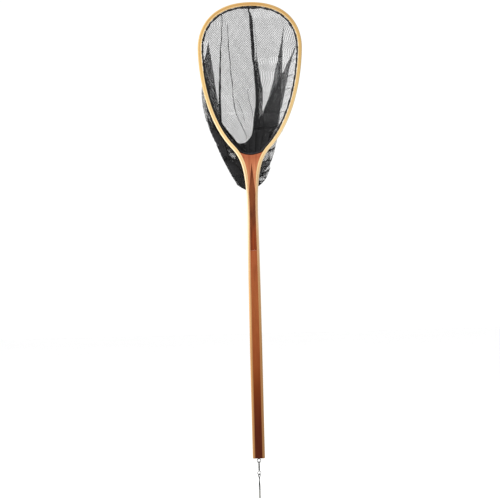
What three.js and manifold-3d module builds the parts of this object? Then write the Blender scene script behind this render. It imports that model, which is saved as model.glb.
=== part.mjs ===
// Long-handled landing net: a bent laminated hoop, a laminated handle, a laced net bag and a
// clip with a short lanyard at the butt. Millimetres, +Z up along the handle, X across the
// hoop, the bag hangs towards +Y. The origin is the middle of the hand grip.
import * as THREE from 'three';
import { mergeVertices } from 'three/addons/utils/BufferGeometryUtils.js';
import Module from 'manifold-3d';

const wasm = await Module();
wasm.setup();

// ---- driving dimensions -------------------------------------------------------------------
const gripToButt = 120;            // the hand holds the handle this far above its end
const handleLength = 728;          // from the butt to the bottom of the hoop's opening
const buttZ = -gripToButt;
const throatZ = buttZ + handleLength;

const hoop = {
  height: 366.5, halfWidth: 125, widestAbove: 257,   // outer face, above the throat
  topReach: 97, shoulderReach: 47, sideReach: 30,    // how long each curve stays straight
  flankReach: 105, throatReach: 36, neckReach: 96,
  turnX: 46.5, turnAbove: 16.5, turnAngle: 43,       // where the side turns into the throat
  lean: 0.011,                                       // sideways drift of the bent hoop
};
const neck = { below: 140, halfWidth: 13.1, taperReach: 25 };
const grip = { below: 540, halfWidth: 14.8, taperReach: 340 };

const strip = 2.9;                 // outer and middle lamination
const innerStrip = 2.6;
const glueLine = 0.15;
const featherBelow = 95;           // the inner lamination runs out this far below the throat
const featherTip = 0.5;

const handleHalfDepth = 10.5;
const hoopHalfDepth = 7.2;
const handleCorner = 5;
const hoopCorner = 2.4;
const slimFrom = throatZ - 115;    // the depth slims from the handle's to the hoop's
const slimTo = throatZ + 45;

const hornHeight = 7.5;            // the throat block's horns rise this far up the hoop
const spearTip = 18;               // the dark core's point, below the throat
const spearLength = 84;
const seamBelow = 229;             // joint between the two handle cores, below the throat
const joint = 0.3;                 // room between pieces that meet

const lacing = { radius: 0.8, hole: 1.15, grooveWidth: 2.6, grooveDepth: 1.9, sit: 1.0 };
const lacingEnd = 55;              // the lacing stops this far above the throat
const lacingPitch = 28;
const knotRadius = 1.8;

const hem = { thick: 2.6, halfDepth: 2.6, setBack: 1.6 };
const bag = {
  wall: 1.6, rows: 9, clear: 1.6, depth: 64,
  drop: 82, shift: -6, bottomHalf: 50, bulge: 15,   // where its foot hangs, behind the throat
};

const eye = { ring: 4.5, wire: 1.0, below: 5.9, shank: 1.25, depth: 20, pilot: 1.9 };
const clasp = {
  half: 1.8, bowHalf: 1.3, inner: 3, outer: 5,       // half widths of the hook and its hollow
  crown: 3.5, noseEnd: -2.6, earTop: -9.4, floor: -13, base: -19,   // heights over the eye's wire
  pivotY: 4, pivot: -11, pin: 0.5, slot: 1.25,
  hub: 1.6, blade: 0.85, gateHalf: 0.95, tab: -7, head: 1.7,
};
const swivel = { ring: 4.15, wire: 0.85, below: 35.2, stud: 0.95, bore: 1.25 };
const cord = {
  radius: 1.0, bight: 4.0, pair: 1.2,                // the doubled cord opens to its bight
  sleeveTop: 77, end: 96, sleeveX: 2.4, sleeveY: 1.5,
};

const frameThickness = 2 * strip + innerStrip + 2 * glueLine;
const smooth = (x, a, b) => THREE.MathUtils.smoothstep(x, a, b);
const lerp = THREE.MathUtils.lerp;

// ---- materials ----------------------------------------------------------------------------
function finish(color, roughness, metalness = 0) {
  return new THREE.MeshStandardMaterial({ color, roughness, metalness });
}

const looks = {
  ash: () => finish(0xdcb47c, 0.35),
  cherry: () => finish(0xc87850, 0.35),
  walnut: () => finish(0x7a4228, 0.35),
  padauk: () => finish(0x8c3c20, 0.35),
  netting: () => finish(0x111214, 0.8),
  nickel: () => finish(0xb8b8ba, 0.25, 1),
  gunmetal: () => finish(0x35363a, 0.35, 1),
  greyCord: () => finish(0x6f7072, 0.85),
  sleeve: () => finish(0xa8a8a2, 0.6),
};

// ---- solids -------------------------------------------------------------------------------
// Joins equal rings of points into one closed body: capped at both ends, or closed on itself.
function loft(rings, closed = false) {
  const n = rings[0].length;
  const points = rings.flat();
  const faces = [];
  const last = closed ? rings.length : rings.length - 1;
  for (let i = 0; i < last; i++) {
    const a = i * n;
    const b = ((i + 1) % rings.length) * n;
    for (let j = 0; j < n; j++) {
      const k = (j + 1) % n;
      faces.push(a + j, a + k, b + k, a + j, b + k, b + j);
    }
  }
  if (!closed) {
    for (let j = 1; j < n - 1; j++) {
      faces.push(0, j + 1, j);
      const e = (rings.length - 1) * n;
      faces.push(e, e + j, e + j + 1);
    }
  }
  return body(points, faces);
}

function body(points, faces) {
  let volume = 0;
  for (let i = 0; i < faces.length; i += 3) {
    const [a, b, c] = [points[faces[i]], points[faces[i + 1]], points[faces[i + 2]]];
    volume += a.dot(b.clone().cross(c));
  }
  const geometry = new THREE.BufferGeometry().setFromPoints(points);
  geometry.setIndex(volume > 0 ? faces : faces.reverse());
  geometry.computeVertexNormals();
  return geometry;
}

function solid(geometry) {
  const plain = geometry.clone();
  plain.deleteAttribute('normal');
  plain.deleteAttribute('uv');
  const merged = mergeVertices(plain, 1e-5);
  return new wasm.Manifold(new wasm.Mesh({
    numProp: 3,
    vertProperties: new Float32Array(merged.attributes.position.array),
    triVerts: new Uint32Array(merged.index.array),
  }));
}

function shape(manifold) {
  const mesh = manifold.getMesh();
  const geometry = new THREE.BufferGeometry();
  geometry.setAttribute('position', new THREE.BufferAttribute(mesh.vertProperties, 3));
  geometry.setIndex([...mesh.triVerts]);
  geometry.computeVertexNormals();
  return geometry;
}

// A prism or cylinder from one point to another.
function rod(from, to, radius, sides = 12, radiusTo = radius) {
  const along = to.clone().sub(from);
  const geometry = new THREE.CylinderGeometry(radiusTo, radius, along.length(), sides);
  const up = new THREE.Vector3(0, 1, 0);
  geometry.applyQuaternion(new THREE.Quaternion().setFromUnitVectors(up, along.clone().normalize()));
  const middle = from.clone().add(to).multiplyScalar(0.5);
  return geometry.translate(middle.x, middle.y, middle.z);
}

// A flat outline in the X-Z plane, extruded through the whole depth of the frame.
function slab(outline, depth = 60) {
  const geometry = new THREE.ExtrudeGeometry(new THREE.Shape(outline), { depth, bevelEnabled: false });
  return geometry.rotateX(Math.PI / 2).translate(0, depth / 2, 0);
}

// A round cord along a list of points.
function cordTube(points, radius, sides = 8) {
  const curve = new THREE.CatmullRomCurve3(points, false, 'centripetal');
  const section = new THREE.Shape();
  section.absarc(0, 0, radius, 0, 2 * Math.PI);
  const outline = section.getPoints(sides).slice(0, sides);
  const steps = points.length - 1;
  return new THREE.ExtrudeGeometry(new THREE.Shape(outline), { extrudePath: curve, steps });
}

const at = (x, y, z) => new THREE.Vector3(x, y, z);

// ---- the frame's outline ------------------------------------------------------------------
// The outer face of the right-hand side, from the butt up to the top of the hoop.
function rightSide() {
  const turn = THREE.MathUtils.degToRad(hoop.turnAngle);
  const v = (x, above) => new THREE.Vector2(x, throatZ + above);
  const turnPoint = (reach) =>
    v(hoop.turnX + reach * Math.sin(turn), hoop.turnAbove + reach * Math.cos(turn));
  const curves = [
    [new THREE.LineCurve(v(grip.halfWidth, -handleLength), v(grip.halfWidth, -grip.below)), 1],
    [new THREE.CubicBezierCurve(v(grip.halfWidth, -grip.below),
      v(grip.halfWidth, -grip.below + grip.taperReach),
      v(neck.halfWidth, -neck.below - neck.taperReach), v(neck.halfWidth, -neck.below)), 7],
    [new THREE.CubicBezierCurve(v(neck.halfWidth, -neck.below),
      v(neck.halfWidth, -neck.below + hoop.neckReach), turnPoint(-hoop.throatReach),
      v(hoop.turnX, hoop.turnAbove)), 14],
    [new THREE.CubicBezierCurve(v(hoop.turnX, hoop.turnAbove), turnPoint(hoop.flankReach),
      v(hoop.halfWidth, hoop.widestAbove - hoop.sideReach), v(hoop.halfWidth, hoop.widestAbove)), 11],
    [new THREE.CubicBezierCurve(v(hoop.halfWidth, hoop.widestAbove),
      v(hoop.halfWidth, hoop.widestAbove + hoop.shoulderReach), v(hoop.topReach, hoop.height),
      v(0, hoop.height)), 14],
  ];
  const stations = [];
  for (const [curve, steps] of curves) {
    for (let i = stations.length ? 1 : 0; i <= steps; i++) {
      const p = curve.getPoint(i / steps);
      const t = curve.getTangent(i / steps);
      stations.push({ x: p.x, z: p.y, nx: -t.y, nz: t.x });
    }
  }
  return stations;
}

const lean = (z) => hoop.lean * Math.max(0, z - throatZ);
const right = rightSide();
const left = right.slice(0, -1).reverse().map((s) => ({ x: -s.x, z: s.z, nx: -s.nx, nz: s.nz }));
const outline = [...right, ...left];

// A point a distance inside the frame's outer face.
function inside(station, offset, y = 0) {
  const z = station.z + station.nz * offset;
  return at(station.x + station.nx * offset + lean(z), y, z);
}

const slim = (z) => smooth(z, slimFrom, slimTo);
const halfDepth = (z) => lerp(handleHalfDepth, hoopHalfDepth, slim(z));

// Half the depth of the frame at a distance in from its rounded outer corner.
function depthAt(z, offset) {
  const r = lerp(handleCorner, hoopCorner, slim(z));
  const rest = Math.max(0, r - offset);
  return halfDepth(z) - r + Math.sqrt(r * r - rest * rest);
}

// The inner lamination thins to a feather edge below the throat.
const innerThickness = (z) => lerp(featherTip, innerStrip, smooth(z, throatZ - featherBelow, throatZ - 15));
const innerFace = (z) =>
  2 * (strip + glueLine) + (z > throatZ - featherBelow ? innerThickness(z) + joint : joint);

function stripRings(stations, from, to, levels) {
  return stations.map((s) => {
    const half = levels.map((k) => {
      const offset = lerp(from(s.z), to(s.z), k);
      return inside(s, offset, depthAt(s.z, offset));
    });
    const mirror = half.map((p) => at(p.x, -p.y, p.z)).reverse();
    return [...half, ...mirror];
  });
}

// ---- lacing groove and holes --------------------------------------------------------------
const hoopStations = outline.filter((s) => s.z > throatZ + lacingEnd);

// Even places along the lacing's run, each with its own inward direction.
function lacingPlaces() {
  const path = new THREE.CatmullRomCurve3(hoopStations.map((s) => at(s.x, 0, s.z)));
  const count = Math.round(path.getLength() / lacingPitch);
  return Array.from({ length: count + 1 }, (_, i) => {
    const p = path.getPointAt(i / count);
    const t = path.getTangentAt(i / count);
    return { x: p.x, z: p.z, nx: -t.z, nz: t.x };
  });
}

const places = lacingPlaces();
const holePlaces = places.slice(1, -1);
const endPlaces = [places[0], places[places.length - 1]];

function lacingCutter() {
  const w = lacing.grooveWidth / 2;
  const groove = solid(loft(hoopStations.map((s) => [
    inside(s, -1, -w), inside(s, lacing.grooveDepth, -w),
    inside(s, lacing.grooveDepth, w), inside(s, -1, w),
  ])));
  const holes = holePlaces.map((s) =>
    solid(rod(inside(s, lacing.sit), inside(s, frameThickness + 1), lacing.hole, 6)));
  const pockets = endPlaces.map((s) => solid(knot(s, knotRadius + joint)));
  return wasm.Manifold.union([groove, ...holes, ...pockets]);
}

// A ball-shaped knot at an end of the groove.
function knot(place, radius) {
  const p = inside(place, lacing.sit - 0.4);
  return new THREE.SphereGeometry(radius, 8, 6).translate(p.x, p.y, p.z);
}

const cutter = lacingCutter();

function lacingCord() {
  const run = hoopStations.map((s) => inside(s, lacing.sit));
  const trim = knotRadius + 2 * joint;
  const shorten = (end, next) => end.clone().addScaledVector(next.clone().sub(end).normalize(), trim);
  run[0] = shorten(run[0], run[1]);
  run[run.length - 1] = shorten(run[run.length - 1], run[run.length - 2]);
  const line = solid(loft(hoopStations.map((s, i) => Array.from({ length: 6 }, (_, k) => {
    const a = (k / 6) * 2 * Math.PI;
    const out = lacing.radius * Math.cos(a);
    return run[i].clone().add(at(out * s.nx, lacing.radius * Math.sin(a), out * s.nz));
  }))));
  const stubs = holePlaces.map((s) =>
    solid(rod(inside(s, lacing.sit), inside(s, frameThickness), lacing.radius * 0.9, 5)));
  return shape(wasm.Manifold.union([line, ...stubs]));
}

// ---- wood ---------------------------------------------------------------------------------
function outerLamination() {
  const rings = stripRings(outline, () => 0, () => strip, [0, 0.3, 1]);
  return shape(solid(loft(rings)).subtract(cutter));
}

function middleLamination() {
  const rings = stripRings(outline, () => strip + glueLine, () => 2 * strip + glueLine, [0, 1]);
  return shape(solid(loft(rings)).subtract(cutter));
}

function innerLamination() {
  const from = 2 * (strip + glueLine);
  const stations = outline.filter((s) => s.z > throatZ - featherBelow);
  const rings = stripRings(stations, () => from, (z) => from + innerThickness(z), [0, 1]);
  return shape(solid(loft(rings)).subtract(cutter));
}

// The top edge of the throat block is an arc between the ends of its two horns.
function throatArc() {
  const face = right.map((s) => inside(s, frameThickness + joint));
  const hornZ = throatZ + hornHeight;
  const i = face.findIndex((p) => p.z > hornZ);
  const hornX = THREE.MathUtils.mapLinear(hornZ, face[i - 1].z, face[i].z, face[i - 1].x, face[i].x);
  return { radius: (hornX ** 2 + hornHeight ** 2) / (2 * hornHeight), hornX, hornZ };
}

const arc = throatArc();

// Everything between the two sides of the frame, from the butt to the throat.
function coreBlank() {
  const stations = right.filter((s) => s.z < throatZ + 2 * hornHeight + frameThickness);
  const rings = stations.map((s) => {
    const p = inside(s, innerFace(s.z));
    const h = halfDepth(s.z);
    return [at(p.x, h, p.z), at(-p.x, h, p.z), at(-p.x, -h, p.z), at(p.x, -h, p.z)];
  });
  const middle = throatZ + arc.radius;
  const mouth = rod(at(0, -30, middle), at(0, 30, middle), arc.radius, 64);
  return solid(loft(rings)).subtract(solid(mouth)).subtract(solid(block(arc.hornZ, arc.hornZ + 50)));
}

// The pointed end of the upper core, let into the throat block, grown by a given gap.
function spear(gap) {
  const halfWidth = 2 * grip.halfWidth;
  const slope = 9 / spearLength;
  const tip = throatZ - spearTip;
  const foot = tip - halfWidth / slope;
  return slab([
    new THREE.Vector2(0, tip + gap / slope),
    new THREE.Vector2(-halfWidth - gap, foot),
    new THREE.Vector2(-halfWidth - gap, buttZ - 10),
    new THREE.Vector2(halfWidth + gap, buttZ - 10),
    new THREE.Vector2(halfWidth + gap, foot),
  ]);
}

function block(zFrom, zTo) {
  return new THREE.BoxGeometry(80, 60, zTo - zFrom).translate(0, 0, (zFrom + zTo) / 2);
}

const blank = coreBlank();
const seamZ = throatZ - seamBelow;

function throatBlock() {
  return shape(blank.subtract(solid(spear(joint))).subtract(solid(block(buttZ - 10, throatZ - featherBelow))));
}

function upperCore() {
  const upper = solid(block(seamZ + joint / 2, throatZ + 50));
  return shape(blank.intersect(solid(spear(0))).intersect(upper));
}

function lowerCore() {
  const lower = solid(block(buttZ - 10, seamZ - joint / 2));
  const pilot = solid(rod(at(0, 0, buttZ - 5), at(0, 0, buttZ + eye.depth + 1), eye.pilot, 10));
  return shape(blank.intersect(lower).subtract(pilot));
}

// ---- hem and bag --------------------------------------------------------------------------
// The hoop's opening, drawn a distance inside the wood: up one side, round, and along the throat.
function opening(inset, arcSteps = 6) {
  const sides = outline.map((s) => inside(s, frameThickness + inset))
    .filter((p) => p.z > arc.hornZ + inset + 2);
  const radius = arc.radius - inset;
  const reach = Math.asin(arc.hornX / arc.radius) * 0.93;
  const throat = Array.from({ length: arcSteps + 1 }, (_, i) => {
    const a = lerp(-reach, reach, i / arcSteps);
    return at(radius * Math.sin(a), 0, throatZ + arc.radius - radius * Math.cos(a));
  });
  return [...sides, ...throat];
}

function hemBand() {
  const outer = opening(joint);
  const inner = opening(joint + hem.thick);
  const rings = outer.map((p, i) => {
    const q = inner[i];
    const [front, back] = [hem.setBack - hem.halfDepth, hem.setBack + hem.halfDepth];
    return [at(p.x, front, p.z), at(q.x, front, q.z), at(q.x, back, q.z), at(p.x, back, p.z)];
  });
  return loft(rings, true);
}

// The bag's outer skin, one closed loop of points for each step: the hem, the back edge of the
// wood that the net passes over, and then down to the foot. Points from the hoop's top make
// the back of the bag, points from the throat its front.
function bagLoops() {
  const mouth = opening(joint + hem.thick / 2, 8).filter((_, i) => i % 2 === 0);
  const start = hem.setBack + hem.halfDepth + joint;
  const loops = [mouth.map((p) => at(p.x, start, p.z))];
  for (let row = 0; row < bag.rows; row++) {
    const v = row / (bag.rows - 1);
    const ease = lerp(v, smooth(v, 0, 1), 0.35);
    loops.push(mouth.map((p) => {
      const front = 1 - smooth(p.z, throatZ + 5, throatZ + 150);
      const side = THREE.MathUtils.clamp(p.x / (0.75 * hoop.halfWidth), -1, 1);
      const footX = bag.shift + bag.bottomHalf * side;
      const footZ = throatZ - bag.drop + 34 * side * side;
      const wide = bag.bulge * Math.sin(Math.PI * v) * side * (side < 0 ? 1 : 0.35);
      const belly = bag.depth * Math.sin(2.6 * v);
      const y = halfDepth(p.z) + bag.clear + lerp(belly, 14 * v, front);
      return at(lerp(p.x, footX, ease) + wide, y, lerp(p.z, footZ, ease));
    }));
  }
  return loops;
}

function netBag() {
  const outer = bagLoops();
  const n = outer[0].length;
  const inner = outer.slice(0, -1).map((loop, row) => loop.map((p, j) => {
    const along = loop[(j + 1) % n].clone().sub(loop[(j + n - 1) % n]);
    const down = outer[row + 1][j].clone().sub(outer[Math.max(row - 1, 0)][j]);
    return p.clone().addScaledVector(along.cross(down).normalize(), -bag.wall);
  }));
  return loft([...outer.reverse(), ...inner]);
}

// ---- clip and lanyard ---------------------------------------------------------------------
const eyeZ = buttZ - eye.below;
const hookZ = eyeZ - eye.ring;          // the clasp hangs on the bottom of the eye
const swivelZ = buttZ - swivel.below;

// A wire ring standing in the hoop's plane.
function ring(major, minor, z, around, sides = 8) {
  return new THREE.TorusGeometry(major, minor, sides, around).rotateX(Math.PI / 2).translate(0, 0, z);
}

function screwEye() {
  const { shank, depth } = eye;
  const ridges = Array.from({ length: 6 }, (_, i) => 2.2 + 2.4 * i);
  const profile = [
    [0, 0],
    ...ridges.flatMap((z) => [[shank - 0.3, z - 1], [shank + 0.3, z]]),
    [shank, depth - 3], [shank, depth + 1.4], [0, depth + 1.4],
  ].map(([r, z]) => new THREE.Vector2(r, z));
  const screw = new THREE.LatheGeometry(profile, 10).rotateX(-Math.PI / 2)
    .translate(0, 0, buttZ + depth);
  return shape(solid(screw).add(solid(ring(eye.ring, eye.wire, eyeZ, 20))));
}

// Flat outlines of the clasp in the Y-Z plane, measured from the eye's wire at its bow.
function plate(points, half, holes = []) {
  const flat = new THREE.Shape(points);
  flat.holes = holes.map((h) => new THREE.Path(h));
  const geometry = new THREE.ExtrudeGeometry(flat, { depth: 2 * half, bevelEnabled: false });
  return geometry.applyMatrix4(new THREE.Matrix4().makeBasis(at(0, 1, 0), at(0, 0, 1), at(1, 0, 0)))
    .translate(-half, 0, hookZ);
}

// Part of an ellipse, from one angle to another in degrees.
function sweep(cy, cz, ry, rz, from, to, steps) {
  return Array.from({ length: steps + 1 }, (_, i) => {
    const a = THREE.MathUtils.degToRad(lerp(from, to, i / steps));
    return new THREE.Vector2(cy + ry * Math.cos(a), cz + rz * Math.sin(a));
  });
}

function claspHook() {
  const { inner, outer, crown, noseEnd, floor, base, earTop } = clasp;
  const outline = [
    ...sweep(0, crown - outer, outer, outer, 0, 180, 12),
    ...sweep(0, base + 4, outer, 4, 180, 360, 8),
  ];
  const space = [
    ...sweep(0, crown - outer, inner, inner, 0, 180, 10),
    new THREE.Vector2(-inner, floor), new THREE.Vector2(inner, floor),
  ];
  const gateway = new THREE.BoxGeometry(10, 6, noseEnd - earTop)
    .translate(0, inner + 2.9, hookZ + (noseEnd + earTop) / 2);
  const fork = new THREE.BoxGeometry(2 * clasp.slot, 5, earTop - floor)
    .translate(0, inner + 1.5, hookZ + (earTop + floor) / 2);
  const bowSides = [-1, 1].map((side) => new THREE.BoxGeometry(2, 14, 8)
    .translate(side * (clasp.bowHalf + 1), 0, hookZ + crown - 2));
  const bore = rod(at(0, 0, hookZ + base - 1), at(0, 0, hookZ + floor + 1), swivel.bore, 10);
  const cuts = [gateway, fork, bore, pivotRod(clasp.pin + 0.12, 5), ...bowSides].map(solid);
  return shape(solid(plate(outline, clasp.half, [space])).subtract(wasm.Manifold.union(cuts)));
}

// A rod along the gate's pivot axis.
function pivotRod(radius, half) {
  const y = clasp.pivotY;
  const z = hookZ + clasp.pivot;
  return rod(at(-half, y, z), at(half, y, z), radius, 8);
}

function claspGate() {
  const { pivotY, pivot, noseEnd, hub, blade, tab } = clasp;
  const tip = noseEnd - joint;
  const outline = [
    ...sweep(pivotY, pivot, hub, hub, 180, 360, 8),
    new THREE.Vector2(pivotY + blade, pivot + hub + 0.6),
    new THREE.Vector2(pivotY + blade, tab - 1.2),
    new THREE.Vector2(pivotY + blade + 1.3, tab - 0.6),
    new THREE.Vector2(pivotY + blade + 1.5, tab + 0.6),
    new THREE.Vector2(pivotY + blade, tab + 1),
    new THREE.Vector2(pivotY + blade, tip - 0.3),
    new THREE.Vector2(pivotY + blade - 0.3, tip),
    new THREE.Vector2(pivotY - blade + 0.3, tip),
    new THREE.Vector2(pivotY - blade, tip - 0.3),
    new THREE.Vector2(pivotY - blade, pivot + hub + 0.6),
  ];
  const y = pivotY;
  const z = hookZ + pivot;
  const springRoom = rod(at(0.15, y, z), at(5, y, z), hub + 0.1, 10);
  return shape(solid(plate(outline, clasp.gateHalf))
    .subtract(solid(pivotRod(clasp.pin + 0.18, 5))).subtract(solid(springRoom)));
}

function gateSpring() {
  const y = clasp.pivotY;
  const z = hookZ + clasp.pivot;
  const coil = solid(rod(at(0.4, y, z), at(0.95, y, z), 1.2, 10))
    .subtract(solid(pivotRod(clasp.pin + 0.2, 5)));
  const leg = rod(at(0.68, y - 0.9, z - 0.2), at(0.68, y - 1.65, z - 1.45), 0.22, 5);
  return shape(coil.add(solid(leg)));
}

// The swivel's ring, its stud through the clasp's base and the stud's riveted head.
function swivelEye() {
  const headZ = hookZ + clasp.floor + joint;
  const stud = rod(at(0, 0, swivelZ + swivel.ring), at(0, 0, headZ + 0.5), swivel.stud, 10);
  const head = rod(at(0, 0, headZ), at(0, 0, headZ + 1), clasp.head, 10, clasp.head - 0.5);
  return shape(wasm.Manifold.union([solid(ring(swivel.ring, swivel.wire, swivelZ, 20)),
    solid(stud), solid(head)]));
}

// The lanyard is one cord, doubled through the swivel's ring and twisted below it.
function lanyardRoute() {
  const wireZ = swivelZ - swivel.ring;
  const bightZ = wireZ + swivel.wire + joint + cord.radius - cord.bight;
  const endZ = buttZ - cord.sleeveTop + joint;
  const strand = Array.from({ length: 15 }, (_, i) => {
    const z = lerp(endZ, bightZ, i / 14);
    const below = bightZ - z;
    const spread = lerp(cord.bight, cord.pair, smooth(below, 0, 7));
    const turn = THREE.MathUtils.degToRad(90 - 270 * smooth(below, -4, 24));
    return at(spread * Math.cos(turn), spread * Math.sin(turn), z);
  });
  return { strand, bightZ };
}

function lanyardCord() {
  const { strand, bightZ } = lanyardRoute();
  const up = strand.slice(0, -1);
  const down = up.map((p) => at(-p.x, -p.y, p.z)).reverse();
  const start = Math.atan2(strand[14].y, strand[14].x);
  const bight = sweep(0, bightZ, cord.bight, cord.bight, 0, 180, 6)
    .map((p) => at(p.x * Math.cos(start), p.x * Math.sin(start), p.y));
  return cordTube([...up, ...bight, ...down], cord.radius);
}

function cordSleeve() {
  const [top, end] = [buttZ - cord.sleeveTop, buttZ - cord.end];
  const levels = [[top, 0.85], [top - 0.8, 1], [end + 0.8, 1], [end, 0.85]];
  return loft(levels.map(([z, k]) => Array.from({ length: 14 }, (_, i) => {
    const a = (i / 14) * 2 * Math.PI;
    return at(k * cord.sleeveX * Math.cos(a), k * cord.sleeveY * Math.sin(a), z);
  })));
}

// ---- the net ------------------------------------------------------------------------------
const group = new THREE.Group();

function add(name, geometry, material) {
  const mesh = new THREE.Mesh(geometry, material);
  mesh.name = name;
  group.add(mesh);
}

add('outer_lamination', outerLamination(), looks.ash());
add('middle_lamination', middleLamination(), looks.ash());
add('inner_lamination', innerLamination(), looks.ash());
add('throat_block', throatBlock(), looks.cherry());
add('upper_core', upperCore(), looks.walnut());
add('lower_core', lowerCore(), looks.padauk());
add('lacing_cord', lacingCord(), looks.netting());
add('lacing_knot_right', knot(endPlaces[0], knotRadius), looks.netting());
add('lacing_knot_left', knot(endPlaces[1], knotRadius), looks.netting());
add('hem_band', hemBand(), looks.netting());
add('net_bag', netBag(), looks.netting());
add('screw_eye', screwEye(), looks.nickel());
add('clasp_hook', claspHook(), looks.gunmetal());
add('gate_pin', pivotRod(clasp.pin, clasp.half), looks.nickel());
add('gate_spring', gateSpring(), looks.nickel());
add('clasp_gate', claspGate(), looks.gunmetal());
add('swivel_eye', swivelEye(), looks.nickel());
add('lanyard_cord', lanyardCord(), looks.greyCord());
add('cord_sleeve', cordSleeve(), looks.sleeve());

export default group;
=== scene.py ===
"""Looks of a long-handled landing net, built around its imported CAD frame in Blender 4.5.

Sizes are in millimetres here and turned into metres when a mesh is made. +Z runs up the handle,
X lies across the hoop, and the bag hangs towards +Y.
"""

import math

import bpy
import bmesh
import numpy as np
from mathutils import Matrix, Vector


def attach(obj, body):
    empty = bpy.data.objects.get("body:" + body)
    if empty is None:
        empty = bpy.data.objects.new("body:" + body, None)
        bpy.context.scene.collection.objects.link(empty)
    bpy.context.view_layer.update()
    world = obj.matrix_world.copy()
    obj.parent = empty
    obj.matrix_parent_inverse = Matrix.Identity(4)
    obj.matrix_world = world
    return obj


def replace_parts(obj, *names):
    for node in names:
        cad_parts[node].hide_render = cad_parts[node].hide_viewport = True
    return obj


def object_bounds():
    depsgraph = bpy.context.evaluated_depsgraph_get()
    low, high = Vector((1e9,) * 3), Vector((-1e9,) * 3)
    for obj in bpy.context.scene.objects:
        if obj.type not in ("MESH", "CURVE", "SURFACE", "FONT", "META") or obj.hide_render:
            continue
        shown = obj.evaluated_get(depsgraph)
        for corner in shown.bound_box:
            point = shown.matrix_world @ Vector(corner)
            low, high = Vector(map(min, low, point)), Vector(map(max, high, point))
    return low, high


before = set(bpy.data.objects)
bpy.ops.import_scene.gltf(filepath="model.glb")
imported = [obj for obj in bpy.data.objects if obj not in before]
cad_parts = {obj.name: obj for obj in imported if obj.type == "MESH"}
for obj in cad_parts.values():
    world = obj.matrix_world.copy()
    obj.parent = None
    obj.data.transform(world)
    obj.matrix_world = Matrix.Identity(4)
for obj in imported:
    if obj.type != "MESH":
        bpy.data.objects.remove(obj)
cad_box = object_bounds()

# ---- driving dimensions, as in the CAD source ----
BUTT_Z = -120.0
THROAT_Z = 608.0
HOOP_HEIGHT = 366.5
HOOP_HALF_WIDTH = 125.0
WIDEST_ABOVE = 257.0
HOOP_LEAN = 0.011
NECK_BELOW, NECK_HALF_WIDTH, NECK_TAPER = 140.0, 13.1, 25.0
GRIP_BELOW, GRIP_HALF_WIDTH, GRIP_TAPER = 540.0, 14.8, 340.0
TURN_X, TURN_ABOVE, TURN_ANGLE = 46.5, 16.5, math.radians(43)
NECK_REACH, THROAT_REACH, SIDE_REACH = 96.0, 36.0, 105.0
WIDEST_REACH_DOWN, WIDEST_REACH_UP, TOP_REACH = 30.0, 47.0, 97.0

STRIP = 2.975                    # outer and middle lamination, to the middle of a glue line
INNER_START = 2 * STRIP + 0.1
INNER_STRIP = 2.6
FEATHER_BELOW, FEATHER_TIP = 95.0, 0.05
FRAME_THICKNESS = 8.7

HANDLE_HALF_DEPTH, HOOP_HALF_DEPTH = 10.5, 7.2
HANDLE_CORNER, HOOP_CORNER = 5.0, 2.4
SLIM_FROM, SLIM_TO = THROAT_Z - 115, THROAT_Z + 45

HORN_HEIGHT = 7.5
SPEAR_TIP, SPEAR_SLOPE = 18.0, 9 / 84
SEAM_BELOW = 229.0

LACING_RADIUS, LACING_SIT = 0.8, 1.0
GROOVE_DEPTH = 1.9
LACING_END, LACING_PITCH = 55.0, 28.0
HEM_THICK, HEM_HALF_DEPTH, HEM_BACK = 4.5, 2.6, 1.6

EYE_Z = BUTT_Z - 5.9
HOOK_Z = EYE_Z - 4.5             # the eye's wire at its bottom, where the clasp hangs
SWIVEL_Z = BUTT_Z - 35.2
SWIVEL_RING, SWIVEL_WIRE = 4.15, 0.85
CORD_RADIUS, CORD_BIGHT, CORD_PAIR = 1.0, 4.0, 1.2
SLEEVE_TOP, SLEEVE_END = BUTT_Z - 77, BUTT_Z - 96


def smooth(x, a, b):
    t = np.clip((np.asarray(x, float) - a) / (b - a), 0, 1)
    return t * t * (3 - 2 * t)


def lerp(a, b, t):
    return a + (b - a) * t


def turn_angles(count):
    """Even angles once round."""
    return np.arange(count) / count * 2 * math.pi


def run_along(points):
    """The distance along a line at each of its (x, z) points."""
    return np.concatenate([[0], np.cumsum(np.hypot(*np.diff(points, axis=0).T))])


# ---- camera ----
def make_camera():
    """A long lens, square on to the hoop, turned so that the net leans a little to the left."""
    data = bpy.data.cameras.new("camera")
    data.sensor_width = 36
    data.lens = 180
    data.clip_end = 100
    camera = bpy.data.objects.new("camera", data)
    roll = math.radians(1.443)
    right = Vector((math.cos(roll), 0, -math.sin(roll)))
    up = Vector((math.sin(roll), 0, math.cos(roll)))
    back = Vector((0, -1, 0))
    place = Vector((-0.0088, -6.0, 0.3801))
    camera.matrix_world = Matrix.Translation(place) @ Matrix((right, up, back)).transposed().to_4x4()
    bpy.context.scene.collection.objects.link(camera)
    bpy.context.scene.camera = camera


make_camera()


# ---- node materials ----
def srgb(r, g, b):
    """A colour given as 0-255 screen values, as the linear values that the shaders take."""
    parts = [c / 255 for c in (r, g, b)]
    linear = [c / 12.92 if c <= 0.04045 else ((c + 0.055) / 1.055) ** 2.4 for c in parts]
    return (*linear, 1.0)


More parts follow.
